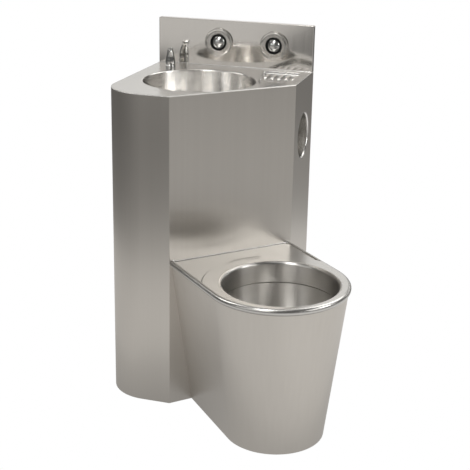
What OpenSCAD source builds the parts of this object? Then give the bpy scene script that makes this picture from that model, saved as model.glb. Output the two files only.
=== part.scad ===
// Combined toilet and basin in satin stainless sheet.
// The origin is on the floor, in the wall plane, at the middle of the cabinet.
// +X runs along the wall to the right, -Y comes out into the room, +Z is up.

/* [Cabinet] */
// Width of the cabinet along the wall
cabinet_w = 465; // [455:1:485]
// Depth of the left side, from the wall to the front face
left_depth = 478; // [470:1:495]
// Width of the front face, from the left side to the bend of the slanted front
face_w = 198; // [192:1:206]
// Radius of the rounded front left corner
corner_r = 115; // [90:1:125]
// Outside radius of the bends on both sides of the slanted front
bend_r = 4; // [3:0.5:8]
// Height of the basin deck above the floor
deck_z = 868; // [850:1:910]
// Thickness of the cabinet and pan sheet
sheet = 2; // [1.5:0.1:2.5]
// Thickness of the drawn bowls, the tray and the roll can
bowl_sheet = 1.5; // [1.2:0.1:2]

/* [Splashback] */
// Height of the splashback above the deck
splash_h = 132; // [120:1:150]
// Distance of its front face from the wall
splash_d = 18; // [18:1:22]

/* [Basin] */
// Radius of the basin where its lip leaves the deck
basin_rim_r = 157; // [150:1:158]
// Radius of the rolled lip
basin_lip_r = 3; // [2.5:0.5:8]
// Depth from the deck to the floor of the basin beside the drain
basin_depth = 125; // [115:1:135]
// Radius between the basin's wall and floor
basin_floor_r = 60; // [45:1:70]
// Distance of the basin's centre from the wall
basin_y = 248; // [242:1:254]
// Strip of deck left between the basin and the slanted front
basin_margin = 2.4; // [2.4:0.1:6]

/* [Soap tray] */
// Width of the tray along the wall
tray_w = 112; // [100:1:116]
// Depth of the tray below the deck
tray_depth = 9; // [6:0.5:12]
// Strip of deck between the tray and the right side
tray_side = 25; // [20:1:32]
// Distance of the tray from the wall
tray_back = 42; // [41:1:50]
// Strip of deck between the tray and the slanted front
tray_front = 47; // [42:1:52]
// Length of the tray's short end beside the basin
tray_end = 18; // [14:1:22]
// Radius of the tray's corners
tray_corner_r = 8; // [4:0.5:8]
// Number of raised ribs
rib_count = 5; // [3:1:5]
// Distance from rib to rib
rib_pitch = 20; // [18:0.5:20.5]
// Width of one rib
rib_w = 8; // [5:0.5:9]
// Length of one rib
rib_len = 52; // [40:1:60]
// Height of one rib above the tray's floor
rib_h = 3; // [2:0.5:4]

/* [Bubbler] */
// Distance of the bubbler from the left side
bubbler_side = 56.5; // [52:0.5:60]
// Distance of the bubbler from the wall
bubbler_y = 78; // [76:1:84]
// Height of the bubbler above the deck
bubbler_h = 57; // [50:1:65]
// Radius of its foot
bubbler_foot_r = 15; // [14:0.5:18]

/* [Push-buttons] */
// Distance of the left button from the middle of the cabinet, to the left
button_left = 47.5; // [45:0.5:60]
// Distance of the right button from the middle of the cabinet, to the right
button_right = 118; // [105:0.5:125]
// Height of both buttons above the deck
button_h = 69; // [62:1:75]
// Radius of the button's flange
flange_r = 41; // [39:0.5:44]
// Thickness of the button's flange
flange_t = 7; // [6:0.5:9]
// Radius of the domed button
dome_r = 17.5; // [17:0.1:18]
// How far the dome stands out beyond its ring
dome_h = 7; // [5:0.5:9]
// Travel of the button
button_travel = 4; // [2:0.5:4.5]
// Gap between the button and its ring
button_gap = 0.3; // [0.25:0.05:0.4]

/* [Roll recess] */
// Radius of the roll opening where its lip leaves the side
roll_rim_r = 67; // [62:1:70]
// Radius of the roll opening's lip
roll_lip_r = 5; // [3:0.5:7]
// Depth of the roll can
roll_depth = 110; // [100:1:115]
// Distance of the roll opening from the wall
roll_y = 104; // [102:1:108]
// Height of the roll opening above the floor
roll_z = 703; // [700:1:730]

/* [Pan] */
// Height of the pan's rim above the floor
pan_z = 422; // [415:1:430]
// Half of the pan's width
pan_w = 188; // [184:1:188.5]
// Length of the pan's straight sides, to the centre of its round front
pan_straight = 248; // [245:1:260]
// Outside radius of the rolled edge
roll_edge_r = 9; // [7:0.5:11]
// Distance of the bowl's centre from the slanted front
bowl_out = 262; // [260:1:266]
// Radius of the bowl where its lip leaves the pan's deck
pan_rim_r = 157; // [152:1:160]
// Radius of the bowl's lip
pan_lip_r = 8; // [6:0.5:10]
// Height of the collar, from the rim down to its lower edge
collar_h = 57; // [50:1:62]
// Depth of the lowered rear part of the pan's deck
recess_h = 3.5; // [2:0.5:5]
// Width of the raised border beside the lowered part
border_w = 14; // [12:1:18]
// Radius of the arc that ends the raised ring at the rear
ring_arc_r = 203; // [198:1:210]
// Half of the skirt's width at the floor, at the slanted front
foot_rear_w = 120; // [112:1:130]
// Radius of the skirt's round front at the floor
foot_r = 133; // [128:1:140]
// Distance of that round front's centre from the slanted front
foot_straight = 250; // [246:1:256]

/* [Waste and water] */
// Outside radius of the soil pipe
soil_r = 45; // [44:0.5:46]
// Height of the soil outlet above the floor
soil_z = 210; // [205:1:215]
// Outside radius of the soil outlet spigot
spigot_r = 51; // [50:0.5:55]
// Outside radius of the basin's waste pipe
waste_r = 19; // [18:0.5:20]
// Height of the basin's waste outlet above the floor
waste_z = 650; // [642:1:655]
// Outside radius of the flush pipe
flush_r = 17.5; // [16:0.5:20]
// Height of the water supply above the floor
supply_z = 480; // [475:1:490]
// Outside radius of the supply pipe
supply_r = 11; // [10:0.5:12]
// Distance of the water inlet from the middle of the cabinet, to the left
inlet_left = 60; // [50:1:66]

/* [Fixing] */
// Radius of the holes for wall and floor bolts
bolt_r = 5.5; // [4:0.5:6.5]
// Height of the lower wall bolts
bolt_low_z = 180; // [120:1:260]
// Height of the upper wall bolts
bolt_high_z = 760; // [700:1:800]
// Width of the rear angles' legs
angle_w = 30; // [28:1:34]
// Thickness of the rear angles, rails and brackets
angle_t = 3; // [2.5:0.5:4]
// Width of the floor frame
base_w = 40; // [36:1:44]
// Thickness of the floor frame
base_t = 5; // [4:0.5:6]
// Distance of the rear floor bolts from the wall
floor_bolt_back = 25; // [20:1:40]
// Distance of the front floor bolts from the front end of the right side
floor_bolt_front = 26; // [24:1:60]

/* [Hidden] */
$fn = 64;
eps = 0.01;
far = 2000;
root_two = sqrt(2);

satin = [0.72, 0.71, 0.68];
polished = [0.86, 0.86, 0.85];
brass_tone = [0.72, 0.58, 0.32];
rubber_tone = [0.1, 0.1, 0.1];
zinc_tone = [0.6, 0.62, 0.64];

// Plan of the cabinet: the slanted front lies on the line x - y = slant
left_x = -cabinet_w / 2;
right_x = cabinet_w / 2;
face_x = left_x + face_w;
slant = face_x + left_depth;
right_y = right_x - slant;
bend_run = round(1000 * bend_r * tan(22.5)) / 1000;
mid = [(face_x + right_x) / 2, (right_y - left_depth) / 2];
slant_half = (right_x - face_x) / root_two;
wrap_h = deck_z - sheet;

// Basin, tray and bubbler on the deck
basin_reach = basin_rim_r + basin_margin;
basin_c = [slant - basin_y - basin_reach * root_two, -basin_y];
basin_r = basin_rim_r - basin_lip_r;
basin_floor_z = deck_z - basin_depth;
floor_slope = 10;
seat_r = 35;
seat_drop = 3;
drain_r = 20;
bubbler_c = [left_x + bubbler_side, -bubbler_y];
shank_r = 10;

// Buttons
button_z = deck_z + button_h;
button_xs = [-button_left, button_right];
ring_w = 6.2;
ring_out_r = dome_r + button_gap + ring_w;
neck_r = ring_out_r + 2;
nut_t = 5;
neck_len = sheet + nut_t + 0.7;
shoulder_t = button_travel + 1;
ring_low = 0.3;
capsule_len = splash_d - 1 - neck_len;
capsule_floor = 2;
capsule_in_r = ring_out_r - 1.5;
nipple_r = 2.5;
nipple_len = 14;
air_r = 3.5;
air_y = -6;
air_bend_r = 20;

// Pan, in its own directions: n leaves the slanted front, t runs along it
deck_low = pan_z - 2 * roll_edge_r;
crest_w = pan_w - roll_edge_r;
collar_r = pan_rim_r - pan_lip_r;
channel_r = collar_r + sheet + 7.5;
shoulder_z = pan_z - collar_h - 3;
throat_z = 190;
throat_end = 178;
bowl_curve = 150;
skirt_top_w = crest_w + 3;
soil_wall = 2;
soil_in_r = soil_r - soil_wall;
trap_bend_r = 60;
trap_low_z = soil_r + 25;
coupling_t = 5;
soil_join = -20;
soil_turn = 100;
soil_x = mid[0] - soil_turn / root_two;
soil_bend_r = 90;
soil_elbow_y = mid[1] + soil_turn / root_two + soil_bend_r * tan(22.5);

// Water and waste inside the cabinet
rail_z = 540;
rail_h = 40;
rail_front = -angle_w - angle_t;
flush_z = pan_z - 30;
flush_bend_r = 47;
supply_bend_r = 22;
flush_valve_r = 32;
flush_valve_drop = 25;
flush_valve_low = supply_z - flush_valve_drop;
flush_valve_h = 100;
cap_t = 8;
cap_rim = 6;
cap_r = flush_valve_r + cap_rim;
cap_bolt_count = 6;
cap_bolt_r = 2.5;
basin_valve_r = 20;
basin_valve_rise = 40;
basin_valve_low = supply_z + basin_valve_rise;
basin_valve_h = 90;
air_drop = 13;
air_low_z = basin_valve_low + basin_valve_h - air_drop;
air_rise = 65;
air_high_z = flush_valve_low + flush_valve_h + air_rise;
bubbler_pipe_r = 6;

// The flush valve stands on the pan's axis, clear of the supply pipe and of the basin valve
valve_gap = 11.4;
valve_y = -bubbler_y - supply_r - flush_valve_r - valve_gap;
valve_x = bubbler_c[0] + basin_valve_r + cap_r + valve_gap;
valve_back = max(mid[1] - valve_y, valve_x - mid[0]) * root_two;
valve_c = [mid[0] + valve_back / root_two, mid[1] - valve_back / root_two];
tee_run = 18;
tee_gap = 6;
inlet_x = max(-inlet_left, valve_c[0] + tee_run + supply_bend_r + tee_gap);

waste_len = 53;
waste_top_z = basin_floor_z - waste_len;
trap_step = 80;
trap_r = trap_step / 2;
trap_drop = 90;
trap_bottom_z = waste_z - trap_drop;
outlet_r = waste_r + 1;
outlet_len = 50;
trap_end_y = -basin_y + trap_r + 18;
waste_x = basin_c[0] + trap_step;

// Shared shapes

function unit(v) = v / norm(v);

function arc(centre, r, from, to, steps = 8) =
    [for (i = [0:steps]) let (a = from + (to - from) * i / steps) centre + r * [cos(a), sin(a)]];

function reversed(list) = [for (i = [len(list) - 1:-1:0]) list[i]];

function pan_point(n, t, z) = [mid[0] + (n + t) / root_two, mid[1] + (t - n) / root_two, z];

// A place in the room, in the pan's directions
function seen_from_pan(x, y, z) =
    let (p = [x, y] - mid) [(p[0] - p[1]) / root_two, (p[0] + p[1]) / root_two, z];

// Arc that rounds the corner b between the points a and c
function rounded_corner(a, b, c, r) =
    let (
        u = unit(a - b),
        v = unit(c - b),
        half = acos(u * v) / 2,
        centre = b + unit(u + v) * r / sin(half),
        start = b + u * r / tan(half) - centre,
        from = atan2(start[1], start[0]),
        turn = 180 - 2 * half,
        side = cross(u, v) > 0 ? -1 : 1
    ) arc(centre, r, from, from + side * turn, 6);

function rounded_outline(points, r) = [
    for (i = [0:len(points) - 1])
        each rounded_corner(
            points[(i + len(points) - 1) % len(points)], points[i], points[(i + 1) % len(points)], r
        )
];

module ring(out_r, in_r, h) {
    linear_extrude(h) difference() {
        circle(out_r);
        circle(in_r);
    }
}

// Sends the local z axis along a direction from a point
module along(from, direction) {
    d = unit(direction);
    translate(from) rotate([0, acos(d[2]), atan2(d[1], d[0])]) children();
}

// One bend of a pipe about the corner p, from direction d1 to d2
module pipe_bend(p, d1, d2, bend, out_r, in_r) {
    turn = acos(d1 * d2);
    toward = unit(d2 - d1 * (d1 * d2));
    centre = p - d1 * bend * tan(turn / 2) + toward * bend;
    side = cross(-toward, d1);
    multmatrix([
        [-toward[0], d1[0], side[0], centre[0]],
        [-toward[1], d1[1], side[1], centre[1]],
        [-toward[2], d1[2], side[2], centre[2]],
        [0, 0, 0, 1]
    ]) rotate_extrude(angle = turn) translate([bend, 0]) difference() {
        circle(out_r);
        circle(in_r);
    }
}

// A pipe along points, with equal bends at the inner ones
module pipe(points, bend, out_r, in_r) {
    last = len(points) - 1;
    ways = [for (i = [0:last - 1]) unit(points[i + 1] - points[i])];
    cut = [
        for (i = [0:last])
            i == 0 || i == last ? 0 : bend * tan(acos(ways[i - 1] * ways[i]) / 2)
    ];
    for (i = [0:last - 1]) {
        run = norm(points[i + 1] - points[i]) - cut[i] - cut[i + 1];
        if (run > eps) along(points[i] + ways[i] * cut[i], ways[i]) ring(out_r, in_r, run);
    }
    for (i = [1:1:last - 1]) pipe_bend(points[i], ways[i - 1], ways[i], bend, out_r, in_r);
}

// Puts a shape on the slanted front: x leaves the front, y runs along it
module on_slant() {
    translate([mid[0], mid[1], 0]) rotate([0, 0, -45]) children();
}

// Puts a shape on the splashback: z leaves its face, y points up
module on_splash(x) {
    translate([x, -splash_d, button_z]) rotate([90, 0, 0]) children();
}

// Cabinet

// Plan of the cabinet drawn in by d, carried on behind the wall plane
module cabinet_plan(d, behind = 0) {
    centre = [left_x + corner_r, -left_depth + corner_r];
    shift = d * tan(22.5);
    r = bend_r - d;
    face_bend = [face_x - bend_run, -left_depth + bend_r];
    side_bend = [right_x - bend_r, right_y + bend_run];
    face_end = r > 0 ? arc(face_bend, r, -90, -45, 4) : [[face_x - shift, -left_depth + d]];
    side_end = r > 0 ? arc(side_bend, r, -45, 0, 4) : [[right_x - d, right_y + shift]];
    polygon(concat(
        [[left_x + d, behind], [left_x + d, centre[1]], centre, [centre[0], -left_depth + d]],
        face_end,
        side_end,
        [[right_x - d, behind]]
    ));
    intersection() {
        translate(centre) circle(corner_r - d, $fn = 128);
        translate(centre - [corner_r, corner_r]) square(corner_r);
    }
}

// A sheet bent round a centre from one angle to another
module bent_sheet(centre, r, from, to) {
    translate([centre[0], centre[1], 0]) rotate([0, 0, from])
        rotate_extrude(angle = to - from, $fn = 128)
            translate([r - sheet, 0]) square([sheet, wrap_h]);
}

module left_wrap() {
    color(satin) {
        translate([left_x, -left_depth + corner_r, 0]) cube([sheet, left_depth - corner_r, wrap_h]);
        bent_sheet([left_x + corner_r, -left_depth + corner_r], corner_r, 180, 270);
        translate([left_x + corner_r, -left_depth, 0])
            cube([face_w - corner_r - bend_run, sheet, wrap_h]);
        bent_sheet([face_x - bend_run, -left_depth + bend_r], bend_r, 270, 315);
    }
}

module front_panel() {
    half = slant_half - bend_run;
    color(satin) difference() {
        on_slant() translate([-sheet, -half, 0]) cube([sheet, 2 * half, wrap_h]);
        along(pan_point(-20, 0, soil_z), [1, -1, 0]) cylinder(h = 40, r = soil_r + 0.5);
        along(pan_point(-20, 0, flush_z), [1, -1, 0]) cylinder(h = 40, r = flush_r + 0.5);
    }
}

module right_side() {
    start = right_y + bend_run;
    color(satin) {
        bent_sheet([right_x - bend_r, start], bend_r, 360, 315);
        difference() {
            translate([right_x - sheet, start, 0]) cube([sheet, -start, wrap_h]);
            translate([right_x - 2 * sheet, -roll_y, roll_z]) rotate([0, 90, 0])
                cylinder(h = 3 * sheet, r = roll_rim_r);
        }
    }
}

module top_deck() {
    color(satin) translate([0, 0, deck_z - sheet]) linear_extrude(sheet) difference() {
        cabinet_plan(0);
        translate(basin_c) circle(basin_rim_r, $fn = 128);
        tray_plan(0);
        translate(bubbler_c) circle(shank_r + 0.5);
        for (x = button_xs) translate([x, air_y]) circle(air_r + 0.5);
    }
}

module splashback() {
    color(satin) difference() {
        translate([left_x, -splash_d, deck_z]) cube([cabinet_w, splash_d, splash_h]);
        translate([left_x + sheet, -splash_d + sheet, deck_z - 1])
            cube([cabinet_w - 2 * sheet, splash_d, splash_h - sheet + 1]);
        for (x = button_xs) on_splash(x) translate([0, 0, -10]) cylinder(h = 20, r = neck_r + 0.3);
    }
}

module base_frame() {
    color(satin) linear_extrude(base_t) difference() {
        cabinet_plan(sheet);
        intersection() {
            cabinet_plan(sheet + base_w);
            translate([-far, -far - base_w]) square([2 * far, far]);
        }
        for (x = [-1, 1], y = [floor_bolt_back, -right_y - floor_bolt_front])
            translate([x * (right_x - sheet - base_w / 2), -y]) circle(bolt_r);
    }
}

// An angle in a rear corner; side is -1 on the left and 1 on the right
module rear_angle(side) {
    edge = right_x - sheet;
    h = wrap_h - base_t;
    color(satin) difference() {
        translate([0, 0, base_t]) linear_extrude(h) mirror([side < 0 ? 1 : 0, 0]) union() {
            translate([edge - angle_w, -angle_t]) square([angle_w, angle_t]);
            translate([edge - angle_t, -angle_w]) square([angle_t, angle_w]);
        }
        for (z = [bolt_low_z, bolt_high_z])
            translate([side * (edge - angle_w / 2), -20, z]) rotate([-90, 0, 0])
                cylinder(h = 40, r = bolt_r);
    }
}

module deck_channel() {
    h = 20;
    y = -16;
    span = right_x - sheet - angle_t;
    color(satin) difference() {
        translate([-span, y - h, wrap_h - h]) cube([2 * span, h, h]);
        translate([-span - 1, y - h + sheet, wrap_h - h - 1])
            cube([2 * span + 2, h - 2 * sheet, h - sheet + 1]);
    }
}

module panel_channel() {
    h = 30;
    deep = 20;
    rise = 8;
    half = slant_half - 2 * deep;
    color(satin) on_slant() translate([-sheet - deep, -half, pan_z + rise]) difference() {
        cube([deep, 2 * half, h]);
        translate([sheet, -1, sheet]) cube([deep, 2 * half + 2, h - 2 * sheet]);
    }
}

module valve_rail() {
    span = right_x - sheet;
    color(satin) translate([-span, rail_front, rail_z]) cube([2 * span, angle_t, rail_h]);
}

// Basin

// Section of a drawn bowl between its rim and its drain, from the middle outwards
function basin_section() =
    let (
        run = basin_r - basin_floor_r,
        a = floor_slope - 90,
        foot_r = run + basin_floor_r * cos(a),
        rise = (foot_r - seat_r) * tan(floor_slope) - basin_floor_r * sin(a),
        turn = [run, basin_floor_z + rise],
        lip = [basin_rim_r, deck_z - basin_lip_r],
        low = basin_floor_z - seat_drop
    ) concat(
        arc(lip, basin_lip_r, 90, 180, 6),
        arc(turn, basin_floor_r, 0, a, 10),
        [[seat_r, basin_floor_z], [seat_r, low], [drain_r, low], [drain_r, low - bowl_sheet]],
        [[seat_r + bowl_sheet, low - bowl_sheet], [seat_r + bowl_sheet, basin_floor_z - bowl_sheet]],
        arc(turn, basin_floor_r + bowl_sheet, a, 0, 10),
        arc(lip, basin_lip_r - bowl_sheet, 180, 90, 6)
    );

module basin_bowl() {
    color(polished) translate([basin_c[0], basin_c[1], 0]) rotate_extrude($fn = 128)
        polygon(basin_section());
}

seat_z = basin_floor_z - seat_drop;
waste_neck_r = drain_r - 0.5;
waste_bore_r = waste_neck_r - 3.5;

module on_basin(z) {
    translate([basin_c[0], basin_c[1], z]) children();
}

module basin_waste() {
    plate_t = 2.5;
    color(polished) {
        on_basin(seat_z) ring(seat_r - 1, waste_bore_r, plate_t);
        on_basin(waste_top_z) ring(waste_neck_r, waste_bore_r, seat_z - waste_top_z);
    }
}

module basin_strainer() {
    color(polished) on_basin(seat_z + 2.5) linear_extrude(1.5) difference() {
        circle(seat_r - 4);
        circle(2.5);
        for (a = [0:60:300]) rotate(a) translate([8, 0]) circle(2.5);
        for (a = [0:40:320]) rotate(a + 20) translate([14, 0]) circle(1.8);
    }
}

gasket_t = 3;
under_seat = seat_z - bowl_sheet;

module waste_gasket() {
    color(rubber_tone) on_basin(under_seat - gasket_t) ring(seat_r - 2, waste_neck_r, gasket_t);
}

module hex_nut(across, bore, h) {
    linear_extrude(h) difference() {
        circle(across / 2 / cos(30), $fn = 6);
        circle(bore);
    }
}

module waste_nut() {
    h = 8;
    color(brass_tone) on_basin(under_seat - gasket_t - h) hex_nut(2 * waste_neck_r + 19, waste_neck_r, h);
}

trap_route = [
    [basin_c[0], basin_c[1], waste_top_z],
    [basin_c[0], basin_c[1], trap_bottom_z],
    [waste_x, basin_c[1], trap_bottom_z],
    [waste_x, basin_c[1], waste_z],
    [waste_x, trap_end_y, waste_z]
];

module basin_trap() {
    color(polished) pipe(trap_route, trap_r, waste_r, waste_r - 2);
}

module basin_outlet() {
    color(polished) {
        along([waste_x, trap_end_y, waste_z], [0, 1, 0])
            ring(waste_r, waste_r - 2, -trap_end_y - outlet_len);
        along([waste_x, -outlet_len, waste_z], [0, 1, 0]) ring(outlet_r, waste_r - 2, outlet_len);
    }
}

module slip_nuts() {
    h = 16;
    color(brass_tone) {
        on_basin(waste_top_z - h) hex_nut(2 * waste_r + 12, waste_r, h);
        along([waste_x, trap_end_y - h / 2, waste_z], [0, 1, 0]) hex_nut(2 * waste_r + 12, waste_r, h);
    }
}

// Soap tray

tray_n = basin_reach - tray_front - tray_end;
tray_t = sqrt(pow(basin_rim_r + 5, 2) - tray_n * tray_n);
tray_x = right_x - tray_side;
first_rib = 9;
rib_back = 18;
rib_gap = 1;
tray_lean = 40;
tray_left = max(tray_x - tray_w, basin_c[0] + (tray_n + tray_t) / root_two - tray_lean);
rib_step = min(rib_pitch, (tray_x - tray_left - 2 * first_rib) / (rib_count - 1));
tray_points = [
    [tray_left, -tray_back],
    basin_c + [tray_n + tray_t, tray_t - tray_n] / root_two,
    basin_c + [tray_n + tray_end + tray_t, tray_t - tray_n - tray_end] / root_two,
    [tray_x, tray_x - slant + tray_front * root_two],
    [tray_x, -tray_back]
];

tray_round = min(tray_corner_r, norm(tray_points[3] - tray_points[2]) / 3);

// Plan of the tray drawn in by d
module tray_plan(d) {
    ways = [for (i = [0:4]) unit(tray_points[(i + 1) % 5] - tray_points[i])];
    inner = [
        for (i = [0:4])
            let (u = ways[(i + 4) % 5], v = ways[i], turn = acos(u * v))
                tray_points[i] + (unit([-u[1], u[0]] + [-v[1], v[0]])) * d / cos(turn / 2)
    ];
    polygon(rounded_outline(inner, tray_round - d));
}

module soap_tray() {
    floor_z = deck_z - tray_depth;
    color(satin) difference() {
        translate([0, 0, floor_z - bowl_sheet]) linear_extrude(tray_depth + bowl_sheet) tray_plan(0);
        translate([0, 0, floor_z]) linear_extrude(tray_depth + 1) tray_plan(bowl_sheet);
    }
    color(polished) translate([0, 0, floor_z]) linear_extrude(rib_h) intersection() {
        tray_plan(bowl_sheet + rib_gap);
        for (i = [0:rib_count - 1])
            translate([tray_x - first_rib - rib_step * i, -tray_back - rib_back - rib_len]) {
                translate([-rib_w / 2, rib_w / 2]) square([rib_w, rib_len - rib_w]);
                translate([0, rib_w / 2]) circle(rib_w / 2);
                translate([0, rib_len - rib_w / 2]) circle(rib_w / 2);
            }
    }
}

// Bubbler

bubbler_foot_t = 4;
bubbler_washer_t = 2;
bubbler_nut_t = 8;
shank_low = wrap_h - bubbler_washer_t - bubbler_nut_t - 6;

module on_bubbler(z) {
    translate([bubbler_c[0], bubbler_c[1], z]) children();
}

module bubbler() {
    aim = unit(basin_c - [basin_rim_r * 0.55, 0] - bubbler_c);
    waist_z = bubbler_foot_t + (bubbler_h - bubbler_foot_t) * 0.5;
    waist_r = bubbler_foot_r - 6;
    hood_r = waist_r - 2;
    tip = [aim[0] * 11, aim[1] * 11, bubbler_h - hood_r];
    color(polished) {
        on_bubbler(deck_z) cylinder(h = bubbler_foot_t, r1 = bubbler_foot_r, r2 = bubbler_foot_r - 2);
        on_bubbler(shank_low) cylinder(h = deck_z - shank_low, r = shank_r);
        on_bubbler(deck_z) difference() {
            union() {
                hull() {
                    translate([0, 0, bubbler_foot_t - 1])
                        cylinder(h = 1, r = bubbler_foot_r - 3, $fn = 32);
                    translate([0, 0, waist_z]) cylinder(h = 1, r = waist_r, $fn = 32);
                }
                hull() {
                    translate([0, 0, waist_z]) cylinder(h = 1, r = waist_r, $fn = 32);
                    translate(tip) sphere(hood_r, $fn = 32);
                }
            }
            translate(tip) rotate([0, 55, atan2(aim[1], aim[0])]) cylinder(h = 20, r = 3.5, $fn = 32);
        }
    }
}

module bubbler_washer() {
    color(rubber_tone) on_bubbler(wrap_h - bubbler_washer_t) ring(16, shank_r, bubbler_washer_t);
}

module bubbler_nut() {
    color(brass_tone) on_bubbler(wrap_h - bubbler_washer_t - bubbler_nut_t)
        hex_nut(3 * shank_r, shank_r, bubbler_nut_t);
}

module bubbler_pipe() {
    low = basin_valve_low + basin_valve_h + 2;
    color(brass_tone) on_bubbler(low) ring(bubbler_pipe_r, bubbler_pipe_r - 1, shank_low - low);
}

// Roll recess

module roll_can() {
    r = roll_rim_r - roll_lip_r;
    heel = 12;
    section = concat(
        arc([roll_rim_r, roll_lip_r], roll_lip_r, -90, -180, 6),
        arc([r - heel, roll_depth - heel], heel, 0, 90, 6),
        [[0, roll_depth], [0, roll_depth + bowl_sheet]],
        arc([r - heel, roll_depth - heel], heel + bowl_sheet, 90, 0, 6),
        arc([roll_rim_r, roll_lip_r], roll_lip_r - bowl_sheet, -180, -90, 6)
    );
    color(polished) translate([right_x, -roll_y, roll_z]) rotate([0, -90, 0])
        rotate_extrude($fn = 128) polygon(section);
}

// Push-buttons

module button_flange(x) {
    section = [
        [ring_out_r, -neck_len], [neck_r, -neck_len], [neck_r, 0], [flange_r, 0],
        [flange_r, flange_t - 1.5], [flange_r - 1.5, flange_t], [flange_r - 6, flange_t],
        [flange_r - 7, flange_t - 0.8], [flange_r - 8, flange_t - 0.4],
        [ring_out_r + 2.5, flange_t - 2.8], [ring_out_r, flange_t - 3]
    ];
    color(polished) on_splash(x) rotate_extrude($fn = 96) polygon(section);
}

module button_ring(x) {
    in_r = dome_r + button_gap;
    top = flange_t - 3;
    section = [
        [in_r, ring_low], [ring_out_r, ring_low], [ring_out_r, top + 0.8],
        [ring_out_r - 1, top + 1.4], [in_r + 1, top + 0.4], [in_r, top - 0.4]
    ];
    color(rubber_tone) on_splash(x) rotate_extrude($fn = 96) polygon(section);
}

module push_button(x) {
    edge = flange_t - 1.5;
    ball_r = (dome_r * dome_r + dome_h * dome_h) / (2 * dome_h);
    start = acos(dome_r / ball_r);
    centre = [0, edge + dome_h - ball_r];
    section = concat(
        [[0, -shoulder_t], [dome_r + 2.5, -shoulder_t], [dome_r + 2.5, 0], [dome_r, 0]],
        arc(centre, ball_r, start, 90, 10)
    );
    color(polished) on_splash(x) rotate_extrude($fn = 96) polygon(section);
}

module bellows(x) {
    turns = 3;
    wall = 1.2;
    low = -neck_len - capsule_len + capsule_floor;
    step = (-shoulder_t - low) / turns / 2;
    outer = [for (i = [0:2 * turns]) [i % 2 == 0 ? 14 : 18, low + step * i]];
    inner = [for (i = [0:2 * turns]) [outer[i][0] - wall * 2, outer[i][1]]];
    color(rubber_tone) on_splash(x) rotate_extrude($fn = 48) polygon(concat(outer, reversed(inner)));
}

module air_capsule(x) {
    low = -neck_len - capsule_len;
    mouth = -splash_d - air_y;
    color(zinc_tone) {
        on_splash(x) translate([0, 0, low]) difference() {
            cylinder(h = capsule_len, r = neck_r);
            translate([0, 0, capsule_floor]) cylinder(h = capsule_len, r = capsule_in_r);
        }
        on_splash(x) translate([0, -neck_r + 0.5, mouth]) rotate([90, 0, 0])
            cylinder(h = nipple_len, r = nipple_r);
    }
}

module capsule_nut(x) {
    color(brass_tone) on_splash(x) translate([0, 0, -sheet - nut_t]) hex_nut(2 * neck_r + 8, neck_r, nut_t);
}

tube_top = button_z - neck_r - 1;
tube_left_route = [
    [button_xs[0], air_y, tube_top],
    [button_xs[0], air_y, air_low_z],
    [bubbler_c[0], air_y, air_low_z],
    [bubbler_c[0], bubbler_c[1] + basin_valve_r + 1, air_low_z]
];
tube_right_y = air_y - 44;
tube_right_route = [
    [button_xs[1], air_y, tube_top],
    [button_xs[1], air_y, air_high_z],
    [button_xs[1], tube_right_y, air_high_z],
    [valve_c[0], tube_right_y, air_high_z],
    [valve_c[0], valve_c[1], air_high_z],
    [valve_c[0], valve_c[1], flush_valve_low + flush_valve_h + cap_t + 16]
];

module air_tube(route) {
    color([0.25, 0.35, 0.55]) pipe(route, air_bend_r, air_r, nipple_r);
}

// Valves and water

module basin_valve() {
    boss_z = rail_z + rail_h / 2;
    color(brass_tone) difference() {
        union() {
            on_bubbler(basin_valve_low) cylinder(h = basin_valve_h, r = basin_valve_r);
            on_bubbler(basin_valve_low - 15) cylinder(h = 20, r = supply_r + 4);
            on_bubbler(basin_valve_low) cylinder(h = basin_valve_h + 12, r = 12);
            along([bubbler_c[0], bubbler_c[1], boss_z], [0, 1, 0])
                cylinder(h = rail_front - bubbler_c[1], r = 12);
            along([bubbler_c[0], bubbler_c[1], air_low_z], [0, 1, 0])
                cylinder(h = basin_valve_r + nipple_len, r = nipple_r);
        }
        on_bubbler(basin_valve_low - 16) cylinder(h = 8, r = supply_r);
        on_bubbler(basin_valve_low + basin_valve_h + 2) cylinder(h = 11, r = bubbler_pipe_r);
    }
}

module on_valve(z) {
    translate([valve_c[0], valve_c[1], z]) children();
}

bolt_ring_r = flush_valve_r + 1.5;
flush_valve_top = flush_valve_low + flush_valve_h;
branch_y = valve_c[1] + flush_valve_r + 4.4;

module cap_bolt_places() {
    for (i = [0:cap_bolt_count - 1]) rotate(i * 360 / cap_bolt_count)
        translate([bolt_ring_r, 0, 0]) children();
}

module flush_valve() {
    color(brass_tone) difference() {
        union() {
            on_valve(flush_valve_low) cylinder(h = flush_valve_h, r = flush_valve_r);
            on_valve(flush_valve_top - cap_t) cylinder(h = cap_t, r = cap_r);
            on_valve(flush_valve_low - 15) cylinder(h = 20, r = flush_r + 6);
            along([valve_c[0], valve_c[1], supply_z], [0, 1, 0])
                cylinder(h = branch_y - valve_c[1], r = supply_r + 4);
        }
        on_valve(flush_valve_low - 16) cylinder(h = 9, r = flush_r);
        on_valve(flush_valve_top - cap_t - 1) cap_bolt_places() cylinder(h = cap_t + 2, r = cap_bolt_r);
    }
}

module flush_valve_cap() {
    color(zinc_tone) difference() {
        on_valve(flush_valve_top) union() {
            cylinder(h = cap_t, r = cap_r);
            cylinder(h = cap_t + 12, r1 = flush_valve_r - 6, r2 = flush_valve_r - 14);
            cylinder(h = cap_t + 12 + nipple_len, r = nipple_r);
        }
        on_valve(flush_valve_top - 1) cap_bolt_places() cylinder(h = cap_t + 2, r = cap_bolt_r);
    }
}

module cap_bolts() {
    head = 3.5;
    color(zinc_tone) on_valve(flush_valve_top) cap_bolt_places() {
        translate([0, 0, cap_t]) cylinder(h = head, r = 4.2, $fn = 6);
        translate([0, 0, -cap_t]) cylinder(h = 2 * cap_t + 1, r = cap_bolt_r);
    }
}

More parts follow.
